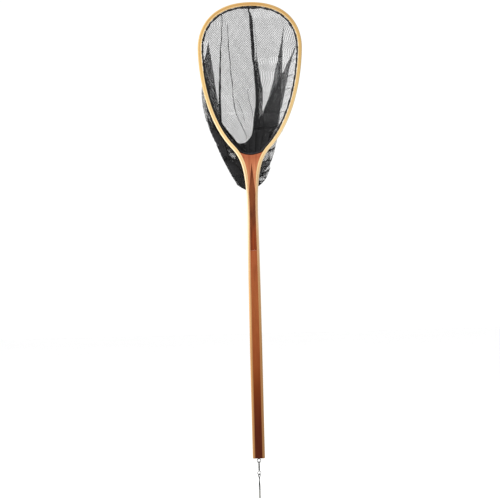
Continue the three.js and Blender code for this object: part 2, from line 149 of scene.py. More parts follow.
class Nodes:
    """A short way to write a material's node tree."""

    def __init__(self, name):
        self.material = bpy.data.materials.new(name)
        self.material.use_nodes = True
        self.tree = self.material.node_tree
        self.shader = self.tree.nodes["Principled BSDF"]

    def add(self, kind, inputs=(), **settings):
        node = self.tree.nodes.new(kind)
        for key, value in settings.items():
            setattr(node, key, value)
        for key, value in dict(inputs).items():
            self.put(node, key, value)
        return node

    def put(self, node, key, value):
        socket = node.inputs[key]
        if isinstance(value, bpy.types.NodeSocket):
            self.tree.links.new(value, socket)
        else:
            socket.default_value = value

    def set(self, **inputs):
        for key, value in inputs.items():
            self.put(self.shader, key.replace("_", " "), value)

    def math(self, operation, a, b=0.0, clamp=False):
        node = self.add("ShaderNodeMath", {0: a, 1: b}, operation=operation, use_clamp=clamp)
        return node.outputs[0]

    def object_coords(self):
        return self.add("ShaderNodeTexCoord").outputs["Object"]

    def attribute(self, name):
        return self.add("ShaderNodeAttribute", attribute_name=name).outputs["Vector"]

    def scaled(self, vector, scale, rotation=(0, 0, 0)):
        node = self.add("ShaderNodeMapping", {"Vector": vector, "Scale": scale, "Rotation": rotation})
        return node.outputs[0]

    def noise(self, vector, scale, detail=3.0, roughness=0.5, distortion=0.0):
        inputs = {"Vector": vector, "Scale": scale, "Detail": detail,
                  "Roughness": roughness, "Distortion": distortion}
        return self.add("ShaderNodeTexNoise", inputs).outputs["Fac"]

    def ramp(self, factor, stops):
        """A colour ramp from (place, red, green, blue), the colours as screen values."""
        node = self.add("ShaderNodeValToRGB", {"Fac": factor})
        elements = node.color_ramp.elements
        while len(elements) < len(stops):
            elements.new(0.5)
        for element, (place, *colour) in zip(elements, stops):
            element.position = place
            element.color = srgb(*colour)
        return node.outputs["Color"]

    def mix(self, factor, a, b, blend="MIX"):
        node = self.add("ShaderNodeMix", data_type="RGBA", blend_type=blend)
        self.put(node, 0, factor)
        self.put(node, 6, a)
        self.put(node, 7, b)
        return node.outputs[2]

    def bump(self, height, strength, distance):
        inputs = {"Height": height, "Strength": strength, "Distance": distance}
        self.set(Normal=self.add("ShaderNodeBump", inputs).outputs[0])

    def along(self, vector, axis, low, high):
        """One coordinate, from 0 at low to 1 at high."""
        part = self.add("ShaderNodeSeparateXYZ", {0: vector}).outputs[axis]
        inputs = {"Value": part, "From Min": low, "From Max": high}
        return self.add("ShaderNodeMapRange", inputs).outputs[0]


def varnish(n, roughness=0.32):
    n.set(Roughness=roughness, Specular_IOR_Level=0.05, Coat_Weight=0.04, Coat_Roughness=0.12)


def fine_lines(n, colour, dark, place, strength, bump):
    """Adds the wood's finest dark lines to a colour, and varnish over it."""
    fine_grain = n.noise(place, 1.0, 3, 0.6)
    lines = n.math("MULTIPLY", n.math("SUBTRACT", fine_grain, 0.5, clamp=True), strength)
    n.set(Base_Color=n.mix(lines, colour, dark))
    varnish(n)
    n.bump(fine_grain, bump, 0.0004)
    return n.material


def strip_wood(name, stops, dark, pores):
    """A bent strip: its grain follows the strip, through the mesh's own (inset, depth, run)."""
    n = Nodes(name)
    place = n.attribute("grain")
    run = n.along(place, 2, 0.0, 1.2)
    base = n.ramp(run, stops)
    long_grain = n.noise(n.scaled(place, (260, 120, 5)), 1.0, 4, 0.6)
    tone = n.math("MULTIPLY", n.math("SUBTRACT", long_grain, 0.42, clamp=True), pores)
    colour = n.mix(tone, base, dark)
    return fine_lines(n, colour, dark, n.scaled(place, (1500, 900, 22)), 1.5, 0.06)


def core_wood(name, stops, dark, low, high, streak=1.0, figure=0.5):
    """A straight piece: its grain runs along the handle, with a soft slanting figure."""
    n = Nodes(name)
    place = n.object_coords()
    base = n.ramp(n.along(place, 2, low, high), stops)
    long_grain = n.noise(n.scaled(place, (230, 60, 7)), 1.0, 5, 0.62, 0.6)
    slant = n.noise(n.scaled(place, (70, 40, 22), (0, math.radians(35), 0)), 1.0, 2, 0.5)
    tone = n.math("MULTIPLY", n.math("SUBTRACT", long_grain, 0.4, clamp=True), 2.4 * streak)
    colour = n.mix(tone, base, dark)
    shade = n.math("MULTIPLY", n.math("SUBTRACT", slant, 0.45, clamp=True), 2.5 * figure)
    colour = n.mix(shade, colour, dark)
    return fine_lines(n, colour, dark, n.scaled(place, (1100, 500, 30)), 1.6, 0.08)


def metal(name, colour, roughness, wear):
    n = Nodes(name)
    place = n.object_coords()
    cloud = n.noise(place, 900.0, 4, 0.6)
    brushed = n.noise(n.scaled(place, (400, 400, 4000)), 1.0, 3, 0.6)
    n.set(Base_Color=n.mix(n.math("MULTIPLY", cloud, wear), colour, srgb(150, 146, 140)))
    n.set(Metallic=1.0)
    n.set(Roughness=n.add("ShaderNodeMapRange", {
        "Value": cloud, "To Min": roughness * 0.75, "To Max": roughness * 1.4}).outputs[0])
    n.bump(brushed, 0.05, 0.0001)
    return n.material


def thread(name, colour, light, scale=2600.0, roughness=0.65):
    n = Nodes(name)
    place = n.object_coords()
    fibre = n.noise(place, scale, 3, 0.6)
    n.set(Base_Color=n.mix(fibre, colour, light), Roughness=roughness, Specular_IOR_Level=0.2)
    n.bump(fibre, 0.3, 0.0002)
    return n.material


def twisted(name, colour, light, pitch, strands=3.0):
    """A laid cord: bands that wind round it, from the mesh's own (turn, 0, run). The grooves between
    its strands are painted darker as painted shade, and the crowns lighter as painted highlight.
    """
    n = Nodes(name)
    place = n.attribute("lay")
    part = n.add("ShaderNodeSeparateXYZ", {0: place})
    turns = n.math("MULTIPLY", part.outputs[2], 1 / pitch)
    phase = n.math("ADD", n.math("MULTIPLY", part.outputs[0], strands), turns)
    wave = n.math("SINE", n.math("MULTIPLY", phase, 2 * math.pi))
    height = n.math("ADD", n.math("MULTIPLY", wave, 0.5), 0.5)
    fibre = n.noise(n.object_coords(), 3500.0, 3, 0.6)
    # painted shade and highlight: the colour goes dark where the strands dip into their grooves and
    # light on their crowns
    shade = n.math("MULTIPLY", height, n.math("ADD", fibre, 0.35), clamp=True)
    n.set(Base_Color=n.mix(shade, colour, light), Roughness=0.8, Specular_IOR_Level=0.2)
    n.bump(height, 0.5, 0.0003)
    return n.material


# ---- meshes ----
def finish_mesh(name, verts, faces, material, body, sharp=35, recalc=True):
    """A new piece from points in millimetres, smooth but for its sharp edges."""
    mesh = bpy.data.meshes.new(name)
    mesh.from_pydata((np.asarray(verts, float) * 0.001).tolist(), [], [tuple(f) for f in faces])
    if recalc:
        bm = bmesh.new()
        bm.from_mesh(mesh)
        bmesh.ops.recalc_face_normals(bm, faces=bm.faces)
        bm.to_mesh(mesh)
        bm.free()
    mesh.polygons.foreach_set("use_smooth", [True] * len(mesh.polygons))
    mesh.set_sharp_from_angle(angle=math.radians(sharp))
    mesh.materials.append(material)
    piece = bpy.data.objects.new(name, mesh)
    bpy.context.scene.collection.objects.link(piece)
    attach(piece, body)
    return piece


def store_vectors(piece, name, values):
    """Keeps one vector per point with the mesh, for its material to read."""
    attribute = piece.data.attributes.new(name, "FLOAT_VECTOR", "POINT")
    attribute.data.foreach_set("vector", np.asarray(values, np.float32).ravel())


def loft_faces(rings, points, closed=False, caps=True, start=0):
    faces = []
    last = rings if closed else rings - 1
    for i in range(last):
        a = start + i * points
        b = start + ((i + 1) % rings) * points
        for j in range(points):
            k = (j + 1) % points
            faces.append((a + j, a + k, b + k, b + j))
    if caps and not closed:
        faces.append(tuple(start + j for j in range(points)))
        end = start + (rings - 1) * points
        faces.append(tuple(end + points - 1 - j for j in range(points)))
    return faces


def frames_along(path, closed=False):
    """Unit tangents and two crosswise directions that turn as little as they can."""
    path = np.asarray(path, float)
    if closed:
        tangents = np.roll(path, -1, 0) - np.roll(path, 1, 0)
    else:
        tangents = np.gradient(path, axis=0)
    tangents /= np.linalg.norm(tangents, axis=1)[:, None]
    side = np.cross(tangents[0], (0.3, 0.9, 0.2))
    sides = []
    for t in tangents:
        side = side - t * side.dot(t)
        side = side / np.linalg.norm(side)
        sides.append(side)
    sides = np.array(sides)
    if closed:
        gap = sides[-1] - tangents[0] * sides[-1].dot(tangents[0])
        gap /= np.linalg.norm(gap)
        other = np.cross(tangents[0], sides[0])
        twist = math.atan2(gap.dot(other), gap.dot(sides[0]))
        turn = -twist * np.linspace(0, 1, len(path))[:, None]
        sides = sides * np.cos(turn) + np.cross(tangents, sides) * np.sin(turn)
    return tangents, sides, np.cross(tangents, sides)


def tube_points(path, radius, sides=12, closed=False, wave=None):
    """Rings of points round a path, and each point's (turn, 0, run)."""
    path = np.asarray(path, float)
    _, u, v = frames_along(path, closed)
    run = np.concatenate([[0], np.cumsum(np.linalg.norm(np.diff(path, axis=0), axis=1))])
    angles = turn_angles(sides)
    radius = np.broadcast_to(np.asarray(radius, float), (len(path),))[:, None]
    grow = 1.0 if wave is None else wave(angles[None, :], run[:, None])
    r = radius * grow * np.ones((len(path), sides))
    ring = (r * np.cos(angles))[:, :, None] * u[:, None, :]
    ring = ring + (r * np.sin(angles))[:, :, None] * v[:, None, :]
    lay = np.zeros((len(path), sides, 3))
    lay[:, :, 0] = angles / (2 * math.pi)
    lay[:, :, 2] = run[:, None] * 0.001
    return (path[:, None, :] + ring).reshape(-1, 3), lay.reshape(-1, 3)


def tubes(name, paths, radius, material, body, sides=12, closed=False, wave=None):
    """One piece made of round tubes, each along its own path."""
    verts, lays, faces = [], [], []
    for path in paths:
        points, lay = tube_points(path, radius, sides, closed, wave)
        start = sum(len(v) for v in verts)
        faces += loft_faces(len(path), sides, closed, start=start)
        verts.append(points)
        lays.append(lay)
    piece = finish_mesh(name, np.concatenate(verts), faces, material, body)
    store_vectors(piece, "lay", np.concatenate(lays))
    return piece


# ---- the frame's outline ----
def bezier(a, b, c, d, steps):
    """Points and tangents of a cubic curve, without its first point."""
    t = (np.arange(1, steps + 1) / steps)[:, None]
    a, b, c, d = (np.array(p, float) for p in (a, b, c, d))
    points = a * (1 - t) ** 3 + 3 * b * t * (1 - t) ** 2 + 3 * c * t * t * (1 - t) + d * t ** 3
    slopes = (b - a) * (1 - t) ** 2 + 2 * (c - b) * t * (1 - t) + (d - c) * t * t
    return points, slopes / np.linalg.norm(slopes, axis=1)[:, None]


def frame_outline():
    """Stations (x, z, inward x, inward z, run) on the outer face, from butt round to butt."""
    def v(x, above):
        return (x, THROAT_Z + above)

    def turn(reach):
        return v(TURN_X + reach * math.sin(TURN_ANGLE), TURN_ABOVE + reach * math.cos(TURN_ANGLE))

    grip = v(GRIP_HALF_WIDTH, -GRIP_BELOW)
    neck = v(NECK_HALF_WIDTH, -NECK_BELOW)
    widest = v(HOOP_HALF_WIDTH, WIDEST_ABOVE)
    butt = (GRIP_HALF_WIDTH, BUTT_Z)
    parts = [
        bezier(butt, (GRIP_HALF_WIDTH, BUTT_Z + 60), (GRIP_HALF_WIDTH, BUTT_Z + 120), grip, 30),
        bezier(grip, v(GRIP_HALF_WIDTH, GRIP_TAPER - GRIP_BELOW),
               v(NECK_HALF_WIDTH, -NECK_BELOW - NECK_TAPER), neck, 50),
        bezier(neck, v(NECK_HALF_WIDTH, NECK_REACH - NECK_BELOW), turn(-THROAT_REACH), turn(0), 100),
        bezier(turn(0), turn(SIDE_REACH), v(HOOP_HALF_WIDTH, WIDEST_ABOVE - WIDEST_REACH_DOWN),
               widest, 90),
        bezier(widest, v(HOOP_HALF_WIDTH, WIDEST_ABOVE + WIDEST_REACH_UP),
               v(TOP_REACH, HOOP_HEIGHT), v(0, HOOP_HEIGHT), 80),
    ]
    points = np.concatenate([[butt]] + [p for p, _ in parts])
    slopes = np.concatenate([[(0, 1)]] + [s for _, s in parts])
    right = np.column_stack([points, -slopes[:, 1], slopes[:, 0]])
    left = right[-2::-1] * (-1, 1, -1, 1)
    stations = np.concatenate([right, left])
    run = run_along(stations[:, :2])
    half = run[-1] / 2
    return np.column_stack([stations, half - np.abs(run - half)]), len(right)


STATIONS, RIGHT_COUNT = frame_outline()


def inside(stations, offset, y=0.0):
    """Points a distance in from the outer face; offset and y may differ from point to point."""
    x = stations[..., 0] + stations[..., 2] * offset
    z = stations[..., 1] + stations[..., 3] * offset
    x = x + HOOP_LEAN * np.maximum(0, z - THROAT_Z)
    return np.stack([x, y + 0 * x, z], axis=-1)


def slim(z):
    return smooth(z, SLIM_FROM, SLIM_TO)


def half_depth(z):
    return lerp(HANDLE_HALF_DEPTH, HOOP_HALF_DEPTH, slim(z))


def depth_at(z, offset):
    """Half the frame's depth at a distance in from its rounded outer corner."""
    r = lerp(HANDLE_CORNER, HOOP_CORNER, slim(z))
    rest = np.maximum(0, r - offset)
    return half_depth(z) - r + np.sqrt(r * r - rest * rest)


def inner_thickness(z):
    return lerp(FEATHER_TIP, INNER_STRIP, smooth(z, THROAT_Z - FEATHER_BELOW, THROAT_Z - 15))


def inner_face(z):
    """How far in the cores' side faces lie."""
    feather = np.where(z > THROAT_Z - FEATHER_BELOW, inner_thickness(z), 0.0)
    return INNER_START + feather


def butt_rounding(points):
    """Draws the very end of the handle in a little, all pieces together."""
    points = np.array(points, float)
    above = points[:, 2] - BUTT_Z
    drawn = 1 - 0.055 * np.clip(1 - above / 1.2, 0, 1) ** 2
    points[:, 0] *= drawn
    points[:, 1] *= drawn
    return points


def with_end_rings(stations):
    """Extra stations close to both ends, for the rounding there."""
    first, last = stations[0], stations[-1]
    rises = (0.25, 0.6, 1.2)
    starts = [first + (0, r, 0, 0, r) for r in rises]
    ends = [last + (0, r, 0, 0, r) for r in rises[::-1]]
    return np.concatenate([[first], starts, stations[1:-1], ends, [last]])


def strip_piece(name, stations, start, stop, levels, material, groove=False):
    """A lamination: a section of points swept along its stations."""
    z = stations[:, 1]
    rings, grains = [], []
    sign_levels = [(1, k) for k in levels[::-1]]
    if groove:
        sign_levels += [(0, k) for k in range(9)]
    sign_levels += [(-1, k) for k in levels]
    cut = smooth(z, THROAT_Z + LACING_END - 4, THROAT_Z + LACING_END + 3)
    across = (1.9, 1.32, 1.2, 1.0, 0.0, -1.0, -1.2, -1.32, -1.9)
    down = (0.0, 0.05, 1.0, 1.6, GROOVE_DEPTH, 1.6, 1.0, 0.05, 0.0)
    for sign, k in sign_levels:
        if sign:
            offset = lerp(start(z), stop(z), k)
            y = sign * depth_at(z, offset)
        else:
            offset = down[k] * cut
            y = across[k] + 0 * z
        rings.append(inside(stations, offset, y))
        grains.append(np.stack([offset + 0 * z, y, stations[:, 4]], axis=-1) * 0.001)
    verts = np.stack(rings, axis=1)
    count = verts.shape[1]
    grain = np.stack(grains, axis=1).reshape(-1, 3)
    faces = loft_faces(len(stations), count)
    piece = finish_mesh(name, butt_rounding(verts.reshape(-1, 3)), faces, material, "frame",
                        sharp=30)
    store_vectors(piece, "grain", grain)
    return piece


def wood_pieces():
    outer_stops = [(0.0, 145, 110, 70), (0.15, 162, 124, 81), (0.22, 156, 118, 74),
                   (0.35, 186, 150, 107), (0.5, 210, 187, 156), (0.64, 214, 198, 160),
                   (0.8, 188, 162, 108), (1.0, 181, 148, 92)]
    middle_stops = [(0.0, 132, 94, 58), (0.3, 156, 116, 76), (0.5, 182, 146, 108),
                    (0.64, 200, 168, 118), (0.8, 180, 148, 94), (1.0, 170, 132, 80)]
    inner_stops = [(0.0, 150, 108, 66), (0.64, 204, 182, 136), (0.8, 202, 178, 126),
                   (1.0, 184, 150, 98)]
    outer = strip_wood("strip_outer", outer_stops, srgb(138, 94, 50), 1.1)
    middle = strip_wood("strip_middle", middle_stops, srgb(112, 70, 36), 1.3)
    inner = strip_wood("strip_inner", inner_stops, srgb(132, 86, 44), 1.2)

    stations = with_end_rings(STATIONS)
    round_levels = [1 - math.cos(math.radians(a)) for a in range(0, 91, 13)]
    round_levels = [k / round_levels[-1] for k in round_levels]
    piece = strip_piece("strip_outer", stations, lambda z: 0 * z, lambda z: STRIP + 0 * z,
                        round_levels, outer, groove=True)
    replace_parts(piece, "outer_lamination")
    piece = strip_piece("strip_middle", stations, lambda z: STRIP + 0 * z,
                        lambda z: INNER_START + 0 * z, [0, 0.2, 0.5, 1], middle)
    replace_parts(piece, "middle_lamination")
    bent = STATIONS[STATIONS[:, 1] > THROAT_Z - FEATHER_BELOW]
    piece = strip_piece("strip_inner", bent, lambda z: INNER_START + 0 * z,
                        lambda z: INNER_START + inner_thickness(z), [0, 0.5, 1], inner)
    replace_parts(piece, "inner_lamination")


def core_half_width(z):
    """The cores' half width at each height, from the inner faces of the two sides."""
    side = STATIONS[:RIGHT_COUNT]
    face = inside(side, inner_face(side[:, 1]))
    keep = face[:, 2] < THROAT_Z + 60
    lean = HOOP_LEAN * np.maximum(0, face[:, 2] - THROAT_Z)
    return np.interp(z, face[keep, 2], (face[:, 0] - lean)[keep])


def throat_arc():
    """Radius of the throat's hollow and the ends of its horns."""
    horn_x = float(core_half_width(THROAT_Z + HORN_HEIGHT))
    return (horn_x ** 2 + HORN_HEIGHT ** 2) / (2 * HORN_HEIGHT), horn_x


ARC_RADIUS, HORN_X = throat_arc()


def grid_shell(name, xs, zs, half, material):
    """A closed slab from a grid of (x, z) places, with its own half depth at each of them."""
    rows, columns = xs.shape
    front = np.stack([xs, -half, zs], axis=-1)
    back = np.stack([xs, half, zs], axis=-1)[:, ::-1]
    verts = np.concatenate([front, back], axis=1).reshape(-1, 3)
    verts[:, 0] += HOOP_LEAN * np.maximum(0, verts[:, 2] - THROAT_Z)
    return finish_mesh(name, butt_rounding(verts), loft_faces(rows, 2 * columns), material, "frame",
                       sharp=40)


def throat_block(material):
    """The block between the bent sides: two legs that meet over the dark core's point."""
    shares = np.linspace(0, 1, 13)
    climb = 1 - (1 - np.linspace(0, 1, 90)) ** 1.6
    low = THROAT_Z - FEATHER_BELOW
    top = np.full(len(shares), THROAT_Z)
    for _ in range(12):
        x = shares * core_half_width(top)
        top = THROAT_Z + ARC_RADIUS - np.sqrt(ARC_RADIUS ** 2 - np.minimum(x, HORN_X) ** 2)
    zs = lerp(low, top[None, :], climb[:, None])
    spear = np.clip((THROAT_Z - SPEAR_TIP - zs) * SPEAR_SLOPE, 0, None)
    side = core_half_width(zs)
    spear = np.minimum(spear, side - 0.02)
    xs = lerp(spear, side, shares[None, :])
    edge = 2.2
    rest = np.clip(edge - (top[None, :] - zs), 0, edge)
    half = half_depth(zs) - edge + np.sqrt(edge * edge - rest * rest)
    right = grid_shell("throat_block_new", xs, zs, half, material)
    left = grid_shell("throat_block_left", -xs, zs, half, material)
    return join_mirrored(right, left)


def join_mirrored(right, left):
    """Joins two halves on the middle plane and takes out the faces between them."""
    bm = bmesh.new()
    bm.from_mesh(right.data)
    bm.from_mesh(left.data)
    bmesh.ops.remove_doubles(bm, verts=bm.verts, dist=1e-6)
    inner = [f for f in bm.faces if all(abs(v.co.x) < 2e-6 for v in f.verts)]
    bmesh.ops.delete(bm, geom=inner, context="FACES")
    bmesh.ops.recalc_face_normals(bm, faces=bm.faces)
    bm.to_mesh(right.data)
    bm.free()
    right.data.set_sharp_from_angle(angle=math.radians(40))
    bpy.data.objects.remove(left)
    return right


def core_slab(name, z_low, z_high, half_width, material, slant=0.0):
    zs = np.concatenate([[z_low, z_low + 0.25, z_low + 0.6, z_low + 1.2],
                         np.arange(z_low + 4, z_high - 1, 4), [z_high]])
    shares = np.linspace(-1, 1, 9)
    xs = half_width(zs)[:, None] * shares[None, :]
    tilt = smooth(zs, z_high - 30, z_high) + slant_low(zs, z_low) * (z_low > BUTT_Z)
    zs = zs[:, None] + slant * xs * tilt[:, None]
    return grid_shell(name, xs, zs, half_depth(zs), material)


def slant_low(zs, z_low):
    return 1 - smooth(zs, z_low, z_low + 30)


def wood_cores():
    seam = THROAT_Z - SEAM_BELOW
    tip = THROAT_Z - SPEAR_TIP
    red = core_wood("block_wood", [(0.0, 180, 122, 86), (0.55, 178, 116, 80),
                                   (0.75, 168, 102, 70), (0.88, 148, 84, 56),
                                   (1.0, 156, 88, 60)],
                    srgb(112, 54, 32), 0.51, 0.615, streak=0.8, figure=0.5)
    brown = core_wood("upper_wood", [(0.0, 116, 48, 20), (0.2, 120, 54, 24),
                                     (0.4, 116, 62, 31), (0.75, 116, 62, 34),
                                     (0.9, 100, 46, 24), (1.0, 104, 46, 26)],
                      srgb(60, 26, 14), seam * 0.001, tip * 0.001, streak=0.9, figure=0.9)
    deep = core_wood("lower_wood", [(0.0, 57, 17, 3), (0.15, 64, 19, 3),
                                    (0.25, 79, 29, 5), (0.34, 95, 41, 9),
                                    (0.45, 117, 58, 25), (0.77, 134, 73, 39),
                                    (1.0, 138, 72, 41)],
                     srgb(84, 36, 16), BUTT_Z * 0.001, seam * 0.001, streak=0.45, figure=0.3)

    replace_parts(throat_block(red), "throat_block")

    def spear_width(z):
        return np.minimum(core_half_width(z), np.maximum(0.02, (tip - z) * SPEAR_SLOPE))

    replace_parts(core_slab("core_upper", seam + 0.05, tip, spear_width, brown, 0.05),
                "upper_core")
    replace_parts(core_slab("core_lower", BUTT_Z, seam - 0.05, core_half_width, deep, 0.05),
                "lower_core")


wood_pieces()
wood_cores()


# ---- the hoop's opening ----
def even_loop(points, count, soften):
    """A closed line again, with its points evenly spaced and its corners softened."""
    points = np.vstack([points, points[:1]])
    run = run_along(points)
    at = np.linspace(0, run[-1], count, endpoint=False)
    line = np.column_stack([np.interp(at, run, points[:, k]) for k in range(2)])
    for _ in range(soften):
        line = line * 0.5 + (np.roll(line, 1, 0) + np.roll(line, -1, 0)) * 0.25
    return line


def opening(inset, count=900):
    """(x, z) round the hoop's opening a distance inside the wood: up the right, down the left."""
    sides = inside(STATIONS, FRAME_THICKNESS + inset)[:, [0, 2]]
    sides = sides[sides[:, 1] > THROAT_Z + HORN_HEIGHT + inset + 2]
    reach = math.asin(HORN_X / ARC_RADIUS) * 0.93
    angles = np.linspace(-reach, reach, 30)
    radius = ARC_RADIUS - inset
    throat = np.column_stack([radius * np.sin(angles),
                              THROAT_Z + ARC_RADIUS - radius * np.cos(angles)])
    return even_loop(np.vstack([sides, throat]), count, 12)


HEM_LINE = opening(0.3 + HEM_THICK / 2)


# ---- the net bag ----
MESH_STEP = 2.05                 # half of a diamond mesh's diagonal
THREAD_HALF, THREAD_RISE = 0.43, 0.5
NET_COLUMNS = (-340, 401)        # more columns of knots than any row needs
FOOT_BELOW = 84.0
PLEAT_STEP = 1.7                 # from one layer of a pleat to the next

# The bag's outline below and beside the hoop, from the right-hand hem down round to the left.
# Places on the net are (height above the throat, x).
BAG_RIGHT = [(92, 77), (83, 71.6), (59, 71.4), (39, 63.7), (27, 60.8), (12, 57.1), (-5, 51.6),
             (-22, 45.4), (-32, 44.9), (-44, 40.5), (-57, 33.5), (-67, 24.8), (-74, 16.2),
             (-80, 4.8)]
BAG_LEFT = [(-84, -6.1), (-83, -14.5), (-78, -24.4), (-72, -34.6), (-62, -40.8), (-44, -50.7),
            (-22, -61.6), (5, -74.4), (29, -83.9), (47, -92.1), (64, -98.4), (88, -106.6),
            (106, -111.2), (126, -114.3), (155, -115.5), (184, -113.1), (205, -111.5)]

# The slack netting that stands up inside the throat.
HEAP_TOP = [(52, -57.9), (39, -50.0), (34, -41.5), (30, -33.4), (29, -23.4), (30, -15.2), (35, -8.8),
            (41, -2.9), (52, 4.5), (59, 14.3), (59, 28.7), (52, 42.9), (42, 53)]

# Each pleat: how much the meshes close up in it, how many folds it has, and its right and left
# edges. The net runs right to the first edge, back left to the second, and right again.
LEFT_PLEATS = [
    (2.0, 2,
     [(160, -109.1), (121, -102.9), (88, -90.6), (64, -74.4), (30, -58.4), (11, -56.5), (-8, -49.8),
      (-23, -30.9), (-61, -12.7), (-90, -11)],
     [(160, -109.1), (121, -106.5), (107, -104.5), (88, -96.6), (73, -92.1), (47, -88), (30, -80),
      (4, -69.9), (-23, -57.3), (-61, -36.7), (-90, -20.6)]),
    (2.5, 1,
     [(277, -96.3), (253, -93.6), (227, -89.2), (186, -83.8), (152, -79.3), (107, -72.6),
      (80, -69.1), (59, -57.7), (30, -34.4), (1, -11.1), (-37, -7.3), (-90, -6.2)],
     [(277, -96.3), (253, -102), (227, -109.1), (210, -112.7), (186, -109.7), (152, -102.1),
      (107, -90.1), (80, -81.1), (59, -69.7), (30, -48.8), (1, -30.3), (-37, -21.7), (-90, -15.8)]),
    (2.4, 2,
     [(342, -61.4), (294, -62.9), (260, -66.3), (220, -67.8), (152, -69), (119, -69.4), (80, -68.2),
      (59, -52.9), (30, -29.6), (1, -8.7), (-90, -5.8)],
     [(342, -63.0), (294, -65.0), (260, -69.0), (220, -72.1), (152, -75), (119, -75.6), (80, -75.1),
      (59, -60.1), (30, -36.8), (1, -13.5), (-90, -8.2)]),
]
MIDDLE_PLEATS = [
    (2.4, 2,
     [(359, 7.5), (346, 4.3), (337, 8.8), (328, 11.5), (304, 12.1), (270, 14.8), (236, 14.7),
      (220, 15.2), (203, 16.5), (186, 19.4), (155, 22), (107, 21.3), (83, 22.1), (47, 18.8),
      (1, 15.3), (-90, -1.4)],
     [(359, -0.9), (346, 0.4), (337, 2.1), (304, 3.7), (270, 5.2), (236, 7), (220, 9.2), (203, 11.2),
      (186, 12.2), (155, 13.4), (119, 12.9), (102, 9.4), (78, 6.2), (59, 3.5), (49, 1.1), (35, -7.9),
      (11, -15.7), (-37, -14.5), (-90, -11)]),
    (2.6, 1,
     [(320, 16.1), (287, 18.1), (253, 19.2), (236, 19.8), (220, 22.7), (203, 24.9), (186, 27.8),
      (169, 30.8), (154, 32.8), (136, 31.6), (109, 30), (88, 31.8), (47, 33.2), (1, 27.3),
      (-90, 5.8)],
     [(320, 15.4), (287, 16.9), (253, 17.8), (236, 16.4), (224, 12.5), (220, 10.7), (203, 12.2),
      (186, 13.2), (155, 14.3), (119, 13.9), (78, 11.2), (47, 6.8), (11, -1.3), (-37, -4.9),
      (-90, -3.8)]),
    (3.2, 1,
     [(313, 87.9), (287, 83.9), (253, 81.6), (203, 80.3), (186, 78.2), (152, 76.7), (119, 74.1),
      (100, 70.3), (80, 66.5), (68, 63.8), (35, 42.5), (11, 29.9), (-37, 16.7), (-90, 5.8)],
     [(313, 87.9), (287, 81.3), (253, 74.2), (220, 66.4), (186, 58.1), (152, 49.6), (136, 45.1),
      (121, 37.5), (109, 31.4), (92, 22.4), (71, 17), (35, 13.7), (1, 10.5), (-90, 1)]),
    (3.0, 1,
     [(268, 115.6), (236, 105.7), (220, 100.9), (193, 95.2), (160, 86.9), (126, 79.4), (97, 71.9),
      (78, 70), (66, 66.8), (47, 54.8), (16, 37.2), (-25, 24.2), (-90, 8.2)],
     [(268, 115.6), (236, 100.4), (220, 91.8), (198, 80.7), (181, 69.7), (160, 57.4), (143, 48.6),
      (126, 39), (114, 33.9), (92, 29.6), (59, 23.9), (11, 15.5), (-37, 9.5), (-90, 3.4)]),
]
FRONT_PLEATS = [
    (1.9, 1,
     [(131, -111.1), (88, -100.2), (64, -84), (30, -63.2), (13, -58.8), (-8, -53.4), (-23, -35.7),
      (-49, -17.2), (-90, -8.6)],
     [(131, -111.1), (88, -102.6), (64, -94.8), (30, -80), (4, -68.7), (-23, -56.1), (-49, -41.2),
      (-90, -18.2)]),
    (1.8, 2,
     [(64, -74.4), (30, -53.6), (11, -37.3), (-8, -28.2), (-37, -19.3), (-90, -7.4)],
     [(64, -76.8), (30, -59.6), (16, -45.6), (1, -37.5), (-13, -42.7), (-37, -33.7), (-90, -13.4)]),
    (2.6, 1,
     [(23, 42.2), (8, 42.8), (-6, 43.9), (-16, 44.6), (-23, 45.4), (-30, 40.9), (-37, 31.1),
      (-52, 18.7), (-90, 10.6)],
     [(23, 42.2), (8, 41.6), (-6, 41.5), (-13, 34.1), (-18, 19.6), (-37, 11.9), (-52, 13.9),
      (-90, 5.8)]),
    (2.2, 2,
     [(-52, 13), (-62, 20), (-70, 21.5), (-78, 15), (-90, 10)],
     [(-52, 12), (-62, 12), (-70, 11.5), (-78, 8), (-90, 7)]),
]


def crease(points, width):
    """A pleat of one narrow width along a line, pinched out at both ends."""
    (first, first_x), (last, last_x) = points[0], points[-1]
    return (2.4, 1,
            [(first + 9, first_x), *((h, x + width / 2) for h, x in points), (last - 9, last_x)],
            [(first + 9, first_x), *((h, x - width / 2) for h, x in points), (last - 9, last_x)])


CREASES = [
    crease([(311, -50.1), (244, -47.5), (220, -45.5), (169, -41.7), (136, -39.9), (121, -38.6),
            (104, -34.9), (88, -28.6), (61, -15.9), (44, -9.7)], 2.6),
    crease([(139, -32.0), (131, -27.1), (112, -20.4), (88, -13.8)], 1.6),
    crease([(155, -4.9), (140, -2.8), (121, 2.4), (100, 6.0)], 1.6),
]


def fan(count, top, low, foot, width, crowd=1.7):
    """Even pleats that run down to one foot: top is (height, first x, last x), foot an x."""
    height, first, last = top
    pleats = []
    for x in np.linspace(first, last, count):
        end = foot + 0.3 * (x - foot)
        pleats.append((crowd, 1, [(height, x + width / 2), (low, end + width / 5)],
                       [(height, x - width / 2), (low, end - width / 5)]))
    return pleats


def edge_at(edge, height):
    """Where a pleat's edge is at each height, and shut above its first place."""
    edge = sorted(edge)
    return np.interp(height, [h for h, _ in edge], [x for _, x in edge])


def turns_at(pleats, height):
    """Where the net turns at one height: x, the layer's depth, and the crowding before each turn."""
    turns = [(-400.0, 0.0, 1.0)]
    for crowd, folds, right, left in pleats:
        a, b = float(edge_at(right, height)), float(edge_at(left, height))
        if height > max(right[0][0], left[0][0]) or a - b < 0.05:
            continue
        for fold in range(folds):
            inset = 0.06 * (a - b) * fold
            turns.append((max(a - inset, turns[-1][0] + 0.1), 0.0, 1.0))
            turns.append((b + inset, PLEAT_STEP * 2, crowd))
    turns.append((400.0, 0.0, 1.0))
    return np.array(turns).T


